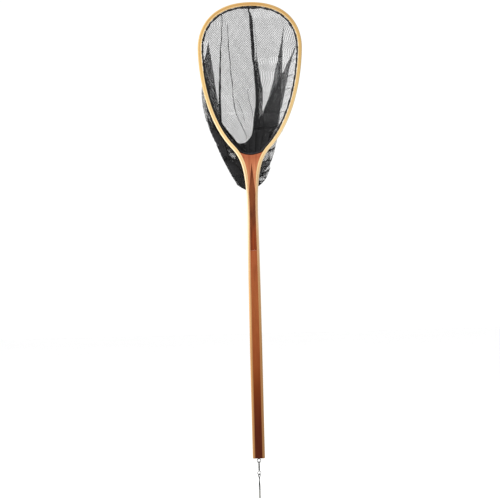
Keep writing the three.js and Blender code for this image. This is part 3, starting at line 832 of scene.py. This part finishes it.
def net_rows(pleats, heights, columns, anchor):
    """x and the layer's depth at every (height, column) of the net, columns at even steps of net."""
    xs = np.zeros((len(heights), len(columns)))
    layers = np.zeros_like(xs)
    for row, height in enumerate(heights):
        x, y, crowd = turns_at(pleats, height)
        cloth = np.concatenate([[0], np.cumsum(np.abs(np.diff(x)) * crowd[1:])])
        first = next(i for i in range(len(x) - 1) if x[i] <= anchor <= x[i + 1])
        start = cloth[first] + anchor - x[first]
        xs[row] = np.interp(columns, cloth - start, x)
        layers[row] = np.interp(columns, cloth - start, y)
    return xs, layers


def inside_loop(loop, x, z):
    """Which of the places lie inside a closed line."""
    hit = np.zeros(x.shape, bool)
    for (x0, z0), (x1, z1) in zip(loop, np.roll(loop, -1, 0)):
        if z0 != z1:
            cross = (z0 > z) != (z1 > z)
            hit ^= cross & (x < (x1 - x0) * (z - z0) / (z1 - z0) + x0)
    return hit


def nearest_on(line, x, z):
    """The nearest point of a line to each place, and how far it is."""
    flat = np.column_stack([x.ravel(), z.ravel()])
    best = np.full(len(flat), np.inf)
    found = np.zeros((len(flat), 2))
    for a, b in zip(line[:-1], line[1:]):
        d = b - a
        t = np.clip(((flat - a) @ d) / max(d @ d, 1e-9), 0, 1)
        p = a + t[:, None] * d
        far = np.hypot(*(flat - p).T)
        closer = far < best
        best[closer], found[closer] = far[closer], p[closer]
    return found.reshape(*x.shape, 2), best.reshape(x.shape)


def smooth_line(places, step=3.0):
    """A smooth line through places given as (height above the throat, x)."""
    p = np.array([(x, THROAT_Z + h) for h, x in places], float)
    p = np.vstack([2 * p[0] - p[1], p, 2 * p[-1] - p[-2]])
    out = []
    for a, b, c, d in zip(p[:-3], p[1:-2], p[2:-1], p[3:]):
        count = max(2, int(np.hypot(*(c - b)) / step))
        for t in np.arange(count) / count:
            out.append(0.5 * (2 * b + (c - a) * t + (2 * a - 5 * b + 4 * c - d) * t * t
                              + (3 * b - a - 3 * c + d) * t ** 3))
    out.append(p[-2])
    return np.array(out)


def bag_outlines():
    """The closed outlines of the bag's back, its front and the heap in the throat."""
    hem = HEM_LINE
    skirt = smooth_line(BAG_RIGHT + BAG_LEFT)
    first = int(np.argmin(np.hypot(*(hem - skirt[0]).T)))
    last = int(np.argmin(np.hypot(*(hem - skirt[-1]).T)))
    upper = np.roll(hem, -first, 0)[:(last - first) % len(hem) + 1]
    lower = np.roll(hem, -last, 0)[:(first - last) % len(hem) + 1]
    heap = sorted((x, THROAT_Z + h) for h, x in HEAP_TOP)
    heap_z = np.interp(lower[:, 0], [x for x, _ in heap], [z for _, z in heap], -1e3, -1e3)
    raised = np.column_stack([lower[:, 0], np.maximum(lower[:, 1], heap_z)])
    under = heap_z > lower[:, 1]
    back = np.vstack([skirt, upper[::-1]])
    front = np.vstack([skirt, raised])
    heap_loop = np.vstack([lower[under], raised[under][::-1]])
    return skirt, back, front, heap_loop


SKIRT, BACK_LOOP, FRONT_LOOP, HEAP_LOOP = bag_outlines()


def distance_field(line, step=3.0):
    xs, zs = np.arange(-160, 161, step), np.arange(THROAT_Z - 100, THROAT_Z + 401, step)
    _, far = nearest_on(line, *np.meshgrid(xs, zs))

    def look_up(x, z):
        i = np.clip((x - xs[0]) / step, 0, len(xs) - 1.001)
        j = np.clip((z - zs[0]) / step, 0, len(zs) - 1.001)
        i0, j0 = i.astype(int), j.astype(int)
        low = lerp(far[j0, i0], far[j0, i0 + 1], i - i0)
        high = lerp(far[j0 + 1, i0], far[j0 + 1, i0 + 1], i - i0)
        return lerp(low, high, j - j0)
    return look_up


far_from_hem = distance_field(np.vstack([HEM_LINE, HEM_LINE[:1]])[::3])
far_from_side = distance_field(SKIRT)


def hang_depth(height):
    """How far behind the hoop the back of the bag hangs."""
    down = np.clip((HOOP_HEIGHT - height) / (HOOP_HEIGHT + FOOT_BELOW), 0, 1)
    return 9.5 + 56 * np.sin(2.6 * down)


def wood_clearance(x, z):
    """The depth that keeps the net behind the wood, eased in from the hem outwards."""
    far = np.where(inside_loop(HEM_LINE[::6], x, z), 0.0, far_from_hem(x, z))
    return (half_depth(z) + 1.6) * smooth(far, 0.0, 2.6)


def back_depth(x, z):
    height = z - THROAT_Z
    hung = hang_depth(height)
    from_hem = 3.0 + (hung - 3.0) * smooth(far_from_hem(x, z), -12, 75) ** 1.2
    rounded = np.sqrt(1 - (1 - np.clip(far_from_side(x, z) / 38, 0, 1)) ** 2)
    middle = 0.35 * hung + 3
    from_side = middle + (hung - middle) * rounded
    y = lerp(np.minimum(from_hem, hung), from_side, smooth(-height, -150, 20))
    return np.maximum(y, wood_clearance(x, z))


def front_depth(x, z):
    rounded = np.sqrt(1 - (1 - np.clip(far_from_side(x, z) / 30, 0, 1)) ** 2)
    middle = 0.35 * hang_depth(z - THROAT_Z) + 3
    near = half_depth(z) + 2.2
    return np.maximum(middle + (near - middle) * rounded, wood_clearance(x, z))


def heap_depth(back):
    """Slack netting that stands a little behind the hem."""
    def depth(x, z):
        return 3.0 + back * 0.5 + (5.0 + back) * smooth(far_from_hem(x, z), 0, 22)
    return depth


def folds_depth(share):
    """Slack folds between the front and the back of the bag."""
    def depth(x, z):
        return lerp(front_depth(x, z), back_depth(x, z), share)
    return depth


def net_grid(pleats, loop, anchor, phase):
    """The net's knots, rippled: x, z, the layer's depth, and where a mesh has its middle."""
    low, high = loop[:, 1].min() - THROAT_Z, loop[:, 1].max() - THROAT_Z
    rows = np.arange(math.floor(low / MESH_STEP) - 1, math.ceil(high / MESH_STEP) + 2)
    cols = np.arange(*NET_COLUMNS)
    u, h = np.meshgrid(cols * MESH_STEP, rows * MESH_STEP)
    xs, layers = net_rows(pleats, rows * MESH_STEP, cols * MESH_STEP, anchor)
    xs = xs + 0.45 * np.sin(h / 9.0 + u / 6.0 + phase) + 0.2 * np.sin(u / 2.9 - h / 4.1)
    zs = THROAT_Z + h + 0.9 * np.sin(u / 8.0 - h / 23.0 + phase) + 0.35 * np.sin(u / 3.1 + h / 6.0)
    layers += 0.7 * np.sin(u / 13.0 + h / 31.0 + phase) + 0.5 * np.sin(h / 17.0 - u / 23.0)
    every_other = (rows[:, None] + cols[None, :]) % 2 == 1
    return xs, zs, layers, every_other


def unit(vectors):
    return vectors / np.maximum(np.linalg.norm(vectors, axis=-1), 1e-6)[..., None]


def thread_faces(place, used, corners):
    """Four slopes round each mesh: from a ridge between the knots down to the mesh's open hole."""
    around = np.stack([place[corner] for corner in corners], axis=1)
    normals = unit(np.cross(around[:, 0] - around[:, 2], around[:, 1] - around[:, 3]))
    normal = np.zeros_like(place)
    for corner in corners:
        np.add.at(normal, corner, normals)
    ridge = place[used] + THREAD_RISE * unit(normal)[used]
    a = np.linalg.norm(around[:, 0] - around[:, 2], axis=1) / 2 + 1e-3
    b = np.linalg.norm(around[:, 1] - around[:, 3], axis=1) / 2 + 1e-3
    share = np.clip(1 - THREAD_HALF * np.hypot(a, b) / (a * b), 0.12, 0.9)
    middle = around.mean(axis=1, keepdims=True)
    holes = middle + (around - middle) * share[:, None, None]
    index = np.full(used.shape, -1)
    index[used] = np.arange(used.sum())
    ring = np.stack([index[corner] for corner in corners], axis=1)
    hole = len(ridge) + np.arange(len(around) * 4).reshape(-1, 4)
    faces = np.concatenate([
        np.stack([ring[:, k], ring[:, (k + 1) % 4], hole[:, (k + 1) % 4], hole[:, k]], axis=1)
        for k in range(4)])
    return np.vstack([ridge, holes.reshape(-1, 3)]), faces, len(around)


def net_sheet(pleats, loop, depth, anchor, gaps=(), phase=0.0):
    """Diamond meshes of thread over one panel: points, and faces that leave every mesh open."""
    xs, zs, layers, every_other = net_grid(pleats, loop, anchor, phase)
    held = inside_loop(loop, xs, zs)
    centre = every_other & held
    for gap in gaps:
        centre &= ~inside_loop(np.array([(x, THROAT_Z + height) for height, x in gap]), xs, zs)
    centre[[0, -1]] = False
    centre[:, [0, -1]] = False
    r, c = np.nonzero(centre)
    corners = [(r, c + 1), (r + 1, c), (r, c - 1), (r - 1, c)]
    used = np.zeros_like(held)
    for corner in corners:
        used[corner] = True
    outside = used & ~held
    snapped, _ = nearest_on(np.vstack([loop, loop[:1]]), xs[outside], zs[outside])
    xs[outside], zs[outside] = snapped[:, 0], snapped[:, 1]
    ys = np.zeros_like(xs)
    ys[used] = depth(xs[used], zs[used])
    return thread_faces(np.stack([xs, ys + layers, zs], axis=-1), used, corners)


# The slack at the bag's foot shows light through it in a few places.
FOOT_FOLDS = [(100, -106), (64, -97.6), (47, -91.3), (29, -83), (5, -73.5), (-22, -60.7), (-44, -49.8),
              (-62, -39.9), (-72, -33.6), (-79, -21), (-82.5, -7), (-60, 2), (-30, 0), (0, -12),
              (12, -34), (34, -58), (60, -76), (84, -92)]
FOOT_GAPS = [
    [(14, -60), (16, -52.5), (-5, -32), (-12, -33), (-2, -49)],
    [(-15, -62), (-17, -57), (-29, -51), (-29, -54)],
    [(-22, -47), (-21, -36), (-25, -31), (-27, -40)],
]


def net_piece(name, sheets, material):
    verts, faces, meshes = [], [], 0
    for points, quads, count in sheets:
        faces.append(quads + sum(len(v) for v in verts))
        verts.append(points)
        meshes += count
    piece = finish_mesh(name, np.vstack(verts), np.vstack(faces).tolist(), material, "frame",
                        sharp=180, recalc=False)
    return piece, meshes * 2 * MESH_STEP ** 2 * 1e-6


# The slack sheets: number of pleats, where they run to, and how far back or between they lie.
HEAP_SHEETS = ((6, 0, 0.0), (7, 6, 2.2), (5, -4, 4.4))
FOOT_SHEETS = ((6, -2, 0.35), (7, -6, 0.65))


def net_bag():
    """The bag's back, its front below the hoop, and the slack folds between them."""
    black = thread("net_thread", srgb(12, 12, 13), srgb(34, 34, 36), 1800.0, 0.6)
    back_pleats = LEFT_PLEATS + CREASES + MIDDLE_PLEATS
    back, area = net_piece("net_back", [net_sheet(back_pleats, BACK_LOOP, back_depth, -17.0)], black)
    front, _ = net_piece("net_front", [net_sheet(FRONT_PLEATS, FRONT_LOOP, front_depth, -5.0)], black)
    heap = [net_sheet(fan(count, (80, -52, 52), -40, foot, 10), HEAP_LOOP, heap_depth(back_off), 66.0,
                      phase=back_off) for count, foot, back_off in HEAP_SHEETS]
    foot_loop = smooth_line(FOOT_FOLDS + FOOT_FOLDS[:1])[:-1]
    slack = [net_sheet(fan(count, (100, -110, -20), -90, foot, 12), foot_loop, folds_depth(share), 30.0,
                       FOOT_GAPS, share * 9) for count, foot, share in FOOT_SHEETS]
    folds, _ = net_piece("net_folds", heap + slack, black)
    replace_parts(back, "net_bag")
    return back, area, [front, folds]


# ---- hem and lacing ----
def lacing_places():
    """Stations at even steps round the hoop, between the groove's two ends."""
    s = STATIONS[STATIONS[:, 1] > THROAT_Z + LACING_END]
    run = run_along(s[:, :2])
    count = round(run[-1] / LACING_PITCH)
    at = np.linspace(0, run[-1], count + 1)
    places = np.column_stack([np.interp(at, run, s[:, k]) for k in range(5)])
    return s, run, at, places


def hem_band(material):
    """The bag's rolled hem: it swells between the loops that pinch it to the hoop."""
    line = HEM_LINE
    _, _, _, places = lacing_places()
    ties = inside(places[1:-1], FRAME_THICKNESS + 1.6)[:, [0, 2]]
    far = np.min(np.hypot(*(line[:, None] - ties[None]).transpose(2, 0, 1)), axis=1)
    pinch = np.exp(-(far / 3.6) ** 2)
    tangent = np.roll(line, -1, 0) - np.roll(line, 1, 0)
    tangent /= np.hypot(*tangent.T)[:, None]
    inward = np.column_stack([-tangent[:, 1], tangent[:, 0]])
    run = np.arange(len(line)) * np.hypot(*(line[1] - line[0]))
    uneven = 0.10 * np.sin(run / 2.3) + 0.08 * np.sin(run / 5.1 + 1) + 0.06 * np.sin(run / 1.1)
    gather = np.exp(-((line[:, 0] - 8) / 15) ** 2) * (line[:, 1] > THROAT_Z + 300)
    throat = smooth(-line[:, 1], -THROAT_Z - 30, -THROAT_Z)
    half = HEM_THICK / 2 * (1 - 0.28 * pinch + uneven) * (1 + 0.8 * gather + 0.1 * throat)
    depth = HEM_HALF_DEPTH * (1 - 0.22 * pinch + 0.5 * uneven)
    centre = line + inward * (0.3 - 0.6 * pinch + 1.0 * gather)[:, None]
    angles = turn_angles(16)
    across = half[:, None] * np.cos(angles)
    deep = HEM_BACK + depth[:, None] * np.sin(angles)
    verts = np.stack([centre[:, :1] + inward[:, :1] * across, deep,
                      centre[:, 1:] + inward[:, 1:] * across], axis=-1)
    piece = finish_mesh("hem_band_new", verts.reshape(-1, 3),
                        loft_faces(len(line), 16, closed=True), material, "frame", 60)
    lay = np.zeros((len(line), 16, 3))
    lay[:, :, 0] = angles / (2 * math.pi)
    lay[:, :, 2] = run[:, None] * 0.001
    store_vectors(piece, "lay", lay.reshape(-1, 3))
    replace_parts(piece, "hem_band")
    return piece


def three_strands(pitch, depth=0.13):
    def wave(angle, run):
        return 1 - depth + depth * np.abs(np.cos(1.5 * (angle - 2 * math.pi * run / pitch))) * 1.6
    return wave


def lacing(material):
    """A cord in the groove that dips at each hole, and a loop from each hole round the hem."""
    s, run, at, places = lacing_places()
    trim = 2.4
    fine = np.arange(trim, run[-1] - trim, 0.7)
    stations = np.column_stack([np.interp(fine, run, s[:, k]) for k in range(5)])
    near = np.min(np.abs(fine[:, None] - at[None, 1:-1]), axis=1)
    path = inside(stations, LACING_SIT + 1.3 * np.exp(-(near / 2.2) ** 2))
    line = tubes("lacing_line", [path], LACING_RADIUS, material, "frame", 12,
                 wave=three_strands(3.2))
    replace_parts(line, "lacing_cord")
    angles = turn_angles(28)
    loops = []
    for k, place in enumerate(places[1:-1]):
        lean = 0.5 * math.sin(k * 2.3)
        ring = []
        for a in angles:
            p = inside(place, FRAME_THICKNESS + 1.5 + 2.1 * math.cos(a), HEM_BACK + 3.1 * math.sin(a))
            along = np.array((-place[3], 0, place[2]))
            ring.append(p + along * lean * math.sin(a + 0.7))
        loops.append(np.array(ring))
    tubes("lacing_loops", loops, 0.62, material, "frame", 10, closed=True)
    for name, place in (("right", places[0]), ("left", places[-1])):
        knot(name, place, material)


def knot(name, place, material):
    """An overhand knot at an end of the groove."""
    t = np.linspace(0, 2 * math.pi, 90, endpoint=False)
    size = 0.5
    a = size * (np.sin(t) + 2 * np.sin(2 * t))
    b = size * (np.cos(t) - 2 * np.cos(2 * t))
    c = -size * 0.9 * np.sin(3 * t)
    centre = inside(place, 0.75)
    out = np.array((place[2], 0, place[3]))
    along = np.array((-place[3], 0, place[2]))
    deep = np.array((0, 1.0, 0))
    path = centre + a[:, None] * along + b[:, None] * deep + c[:, None] * out
    piece = tubes(f"lacing_end_{name}", [path], 0.62, material, "frame", 10, closed=True)
    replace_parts(piece, f"lacing_knot_{name}")


cord_black = twisted("lacing_black", srgb(16, 16, 18), srgb(58, 58, 62), 0.0032)
hem_black = thread("hem_black", srgb(14, 14, 16), srgb(48, 48, 52), 1400.0)
hem = hem_band(hem_black)
lacing(cord_black)
bag, bag_area, bag_parts = net_bag()
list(bag_parts)


# ---- screw eye, clasp and lanyard ----
def revolve(name, profile, material, body, sides=32, y=0.0):
    """A turned piece about a line along Z, from (radius, height) places that start and end on it."""
    angles = turn_angles(sides)
    rings = [[(r * math.cos(a), y + r * math.sin(a), z) for a in angles] for r, z in profile]
    verts = np.array(rings).reshape(-1, 3)
    return finish_mesh(name, verts, loft_faces(len(profile), sides), material, body, 40)


def circle_path(radius, z, count=56, start=0.0, sweep=2 * math.pi):
    """A circle in the hoop's plane."""
    a = start + np.arange(count) / count * sweep
    return np.column_stack([radius * np.cos(a), 0 * a, z + radius * np.sin(a)])


def screw_eye(material):
    """A wire ring bent from its own shank, with the screw's thread in the wood."""
    ring = tubes("eye_ring", [circle_path(4.5, EYE_Z)], 1.0, material, "frame", 16,
                 closed=True)
    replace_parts(ring, "screw_eye")
    top = BUTT_Z + 17
    profile = [(0.001, top + 3)]
    for i in range(52):
        z = top - i * 0.32
        profile.append((1.25 + (0.3 if i % 4 == 2 else -0.1), z))
    profile += [(1.2, BUTT_Z + 0.3), (1.15, BUTT_Z - 0.2), (1.1, EYE_Z + 4.9), (1.25, EYE_Z + 4.5),
                (0.001, EYE_Z + 4.2)]
    revolve("eye_shank", profile, material, "frame", 24)


def plate(name, outline, half, round_over, holes=()):
    """A flat part across the clasp's plane, with rounded edges: outlines are (y, z) places."""
    curve = bpy.data.curves.new(name, "CURVE")
    curve.dimensions = "2D"
    curve.fill_mode = "BOTH"
    curve.extrude = half - round_over
    curve.bevel_depth = round_over
    curve.bevel_resolution = 3
    curve.offset = -round_over
    for line in (outline, *holes):
        spline = curve.splines.new("POLY")
        spline.points.add(len(line) - 1)
        for point, (y, z) in zip(spline.points, line):
            point.co = (y, z, 0, 1)
        spline.use_cyclic_u = True
    flat = bpy.data.objects.new(name, curve)
    mesh = bpy.data.meshes.new_from_object(flat)
    bpy.data.objects.remove(flat)
    bpy.data.curves.remove(curve)
    turn = Matrix(((0, 0, 1, 0), (1, 0, 0, 0), (0, 1, 0, HOOK_Z), (0, 0, 0, 1)))
    mesh.transform(turn)
    bm = bmesh.new()
    bm.from_mesh(mesh)
    bmesh.ops.remove_doubles(bm, verts=bm.verts, dist=1e-3)
    bmesh.ops.recalc_face_normals(bm, faces=bm.faces)
    bm.to_mesh(mesh)
    bm.free()
    return mesh


def box_cutter(centre, size):
    bm = bmesh.new()
    bmesh.ops.create_cube(bm, size=1)
    bm.transform(Matrix.Translation(centre) @ Matrix.Diagonal((*size, 1)))
    mesh = bpy.data.meshes.new("cutter")
    bm.to_mesh(mesh)
    bm.free()
    return mesh


def cut(mesh, cutters):
    """The mesh with each cutter taken out of it."""
    body = bpy.data.objects.new("cut", mesh)
    bpy.context.scene.collection.objects.link(body)
    tools = []
    for cutter in cutters:
        tool = bpy.data.objects.new("tool", cutter)
        bpy.context.scene.collection.objects.link(tool)
        modifier = body.modifiers.new("cut", "BOOLEAN")
        modifier.operation = "DIFFERENCE"
        modifier.solver = "EXACT"
        modifier.object = tool
        tools.append(tool)
    seen = body.evaluated_get(bpy.context.evaluated_depsgraph_get())
    result = bpy.data.meshes.new_from_object(seen)
    for o in (body, *tools):
        bpy.data.objects.remove(o)
    return result


def arc_places(cy, cz, ry, rz, first, last, steps):
    angles = np.radians(np.linspace(first, last, steps + 1))
    return [(cy + ry * math.cos(a), cz + rz * math.sin(a)) for a in angles]


def from_mesh(name, mesh, material, body):
    """A piece from a mesh that is still in millimetres."""
    verts = [v.co for v in mesh.vertices]
    faces = [tuple(p.vertices) for p in mesh.polygons]
    return finish_mesh(name, verts, faces, material, body, 32)


def clasp_hook(material):
    outline = arc_places(0, -1.5, 5, 5, 0, 180, 32) + arc_places(0, -15, 5, 4, 180, 360, 24)
    hollow = arc_places(0, -1.5, 3, 3, 0, 180, 28) + [(-3, -12.4), (-2.6, -13), (2.6, -13), (3, -12.4)]
    mesh = plate("hook", outline, 1.8, 0.55, [hollow])
    gateway = box_cutter((0, 5.9, HOOK_Z - 6), (10, 6, 6.8))
    fork = box_cutter((0, 4.5, HOOK_Z - 11.2), (2.5, 5, 3.6))
    sides = [box_cutter((side * 2.3, 0, HOOK_Z + 1.5), (2, 14, 8)) for side in (-1, 1)]
    piece = from_mesh("clasp_hook_new", cut(mesh, [gateway, fork, *sides]), material, "clasp")
    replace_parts(piece, "clasp_hook")


def clasp_gate(material):
    outline = arc_places(4, -11, 1.6, 1.6, 180, 360, 20)
    outline += [(4.85, -8.8), (4.85, -8.2), (6.05, -7.7), (6.4, -7.1), (6.3, -6.4), (4.85, -6.0),
                (4.85, -3.2), (4.55, -2.9), (3.45, -2.9), (3.15, -3.2), (3.15, -8.8)]
    mesh = plate("gate", outline, 0.95, 0.25)
    piece = from_mesh("clasp_gate_new", mesh, material, "gate")
    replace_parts(piece, "clasp_gate")


def gate_pin(material):
    """A rivet through the clasp's fork, domed a little at both ends."""
    heads = [(-1.95, 0.001), (-1.93, 0.3), (-1.85, 0.55), (-1.75, 0.62), (-1.7, 0.5)]
    ends = heads + [(-x, r) for x, r in heads[::-1]]
    angles = turn_angles(20)
    z = HOOK_Z - 11
    rings = [[(x, 4 + r * math.cos(a), z + r * math.sin(a)) for a in angles] for x, r in ends]
    piece = finish_mesh("gate_rivet", np.array(rings).reshape(-1, 3), loft_faces(len(ends), 20),
                        material, "clasp", 40)
    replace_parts(piece, "gate_pin")


def gate_spring(material):
    """A small coil on the rivet with one leg against the hook."""
    turns = np.linspace(0, 2.6 * 2 * math.pi, 70) - math.pi / 2
    z = HOOK_Z - 11
    coil = np.column_stack([0.42 + 0.5 * np.linspace(0, 1, 70), 4 + 0.95 * np.cos(turns),
                            z + 0.95 * np.sin(turns)])
    leg = np.array([(0.92, 3.1, z - 0.3), (0.9, 2.7, z - 0.9), (0.88, 2.35, z - 1.5)])
    piece = tubes("gate_coil", [coil], 0.12, material, "clasp", 8)
    tubes("gate_coil_leg", [leg], 0.12, material, "clasp", 8)
    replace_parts(piece, "gate_spring")


def swivel(material):
    ring = tubes("swivel_ring", [circle_path(SWIVEL_RING, SWIVEL_Z)], SWIVEL_WIRE, material, "swivel",
                 16, closed=True)
    head = HOOK_Z - 12.7
    low = SWIVEL_Z + SWIVEL_RING
    profile = [(0.001, head + 1.0), (0.8, head + 0.95), (1.3, head + 0.7), (1.65, head + 0.25),
               (1.7, head), (0.95, head - 0.02), (0.95, low + 1.6), (1.3, low + 0.7), (1.5, low),
               (0.001, low - 0.3)]
    revolve("swivel_stud", profile, material, "swivel", 28)
    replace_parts(ring, "swivel_eye")


def lanyard_path(count=60):
    """The doubled cord: up one strand, over the swivel's ring, and down the other."""
    wire_z = SWIVEL_Z - SWIVEL_RING
    bight_z = wire_z + SWIVEL_WIRE + 0.3 + CORD_RADIUS - CORD_BIGHT
    end_z = SLEEVE_TOP + 0.3
    z = np.linspace(end_z, bight_z, count)
    below = bight_z - z
    spread = lerp(CORD_BIGHT, CORD_PAIR, smooth(below, 0, 7))
    turn = np.radians(60 + 120 * smooth(below, 0, 34))
    up = np.column_stack([spread * np.cos(turn), spread * np.sin(turn), z])
    down = (up * (-1, -1, 1))[::-1]
    start = turn[-1]
    a = np.linspace(0, math.pi, 22)[1:-1]
    bight = np.column_stack([CORD_BIGHT * np.cos(a) * math.cos(start),
                             CORD_BIGHT * np.cos(a) * math.sin(start),
                             bight_z + CORD_BIGHT * np.sin(a)])
    return np.vstack([up, bight, down])


def lanyard(cord_material, sleeve_material):
    path = lanyard_path()
    cord = tubes("lanyard", [path], CORD_RADIUS, cord_material, "lanyard", 14,
                 wave=three_strands(4.2, 0.1))
    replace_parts(cord, "lanyard_cord")
    z = np.linspace(SLEEVE_TOP, SLEEVE_END, 72)
    ends = np.minimum(SLEEVE_TOP - z, z - SLEEVE_END)
    grow = (0.86 + 0.14 * smooth(ends, 0, 0.8)) * (1 + 0.012 * np.cos(z * 2 * math.pi / 0.9))
    waist = 1 - 0.05 * smooth(ends, 1, 6)
    angles = turn_angles(28)
    verts = np.stack([np.outer(grow * waist, 2.4 * np.cos(angles)),
                      np.outer(grow * waist, 1.5 * np.sin(angles)),
                      np.repeat(z[:, None], 28, 1)], axis=-1)
    sleeve = finish_mesh("lanyard_sleeve", verts.reshape(-1, 3), loft_faces(len(z), 28),
                         sleeve_material, "lanyard", 50)
    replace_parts(sleeve, "cord_sleeve")


def hardware():
    nickel = metal("nickel", srgb(98, 98, 97), 0.25, 0.2)
    gunmetal = metal("gunmetal", srgb(30, 32, 31), 0.32, 0.08)
    screw_eye(nickel)
    clasp_hook(gunmetal)
    clasp_gate(gunmetal)
    gate_pin(nickel)
    gate_spring(nickel)
    swivel(nickel)
    grey = twisted("cord_grey", srgb(30, 31, 32), srgb(66, 66, 67), 0.0042)
    pale = thread("sleeve_pale", srgb(112, 112, 108), srgb(134, 134, 130), 2200.0, 0.6)
    lanyard(grey, pale)


hardware()


# ---- light and floor ----
def area_light(name, place, aim, size, power):
    data = bpy.data.lights.new(name, "AREA")
    data.shape = "DISK"
    data.size = size
    data.energy = power
    light = bpy.data.objects.new(name, data)
    light.location = place
    look = Vector(aim) - Vector(place)
    light.rotation_euler = look.to_track_quat("-Z", "Y").to_euler()
    bpy.context.scene.collection.objects.link(light)


def studio():
    world = bpy.data.worlds.new("studio")
    world.use_nodes = True
    world.node_tree.nodes["Background"].inputs["Color"].default_value = (1, 1, 1, 1)
    world.node_tree.nodes["Background"].inputs["Strength"].default_value = 1.05
    bpy.context.scene.world = world
    bpy.context.scene.view_settings.view_transform = "Standard"
    area_light("key", (-3.2, -1.7, 1.6), (0, 0, 0.4), 1.4, 170)

    n = Nodes("floor")
    grey = n.noise(n.object_coords(), 3.0, 2, 0.5)
    n.set(Base_Color=n.mix(grey, (0.93, 0.93, 0.93, 1), (0.95, 0.95, 0.95, 1)), Roughness=0.9)
    mesh = bpy.data.meshes.new("floor")
    level = cad_box[0].z - 0.002
    mesh.from_pydata([(-12, -12, level), (12, -12, level), (12, 12, level), (-12, 12, level)], [],
                     [(0, 1, 2, 3)])
    mesh.materials.append(n.material)
    floor = bpy.data.objects.new("floor", mesh)
    bpy.context.scene.collection.objects.link(floor)


studio()
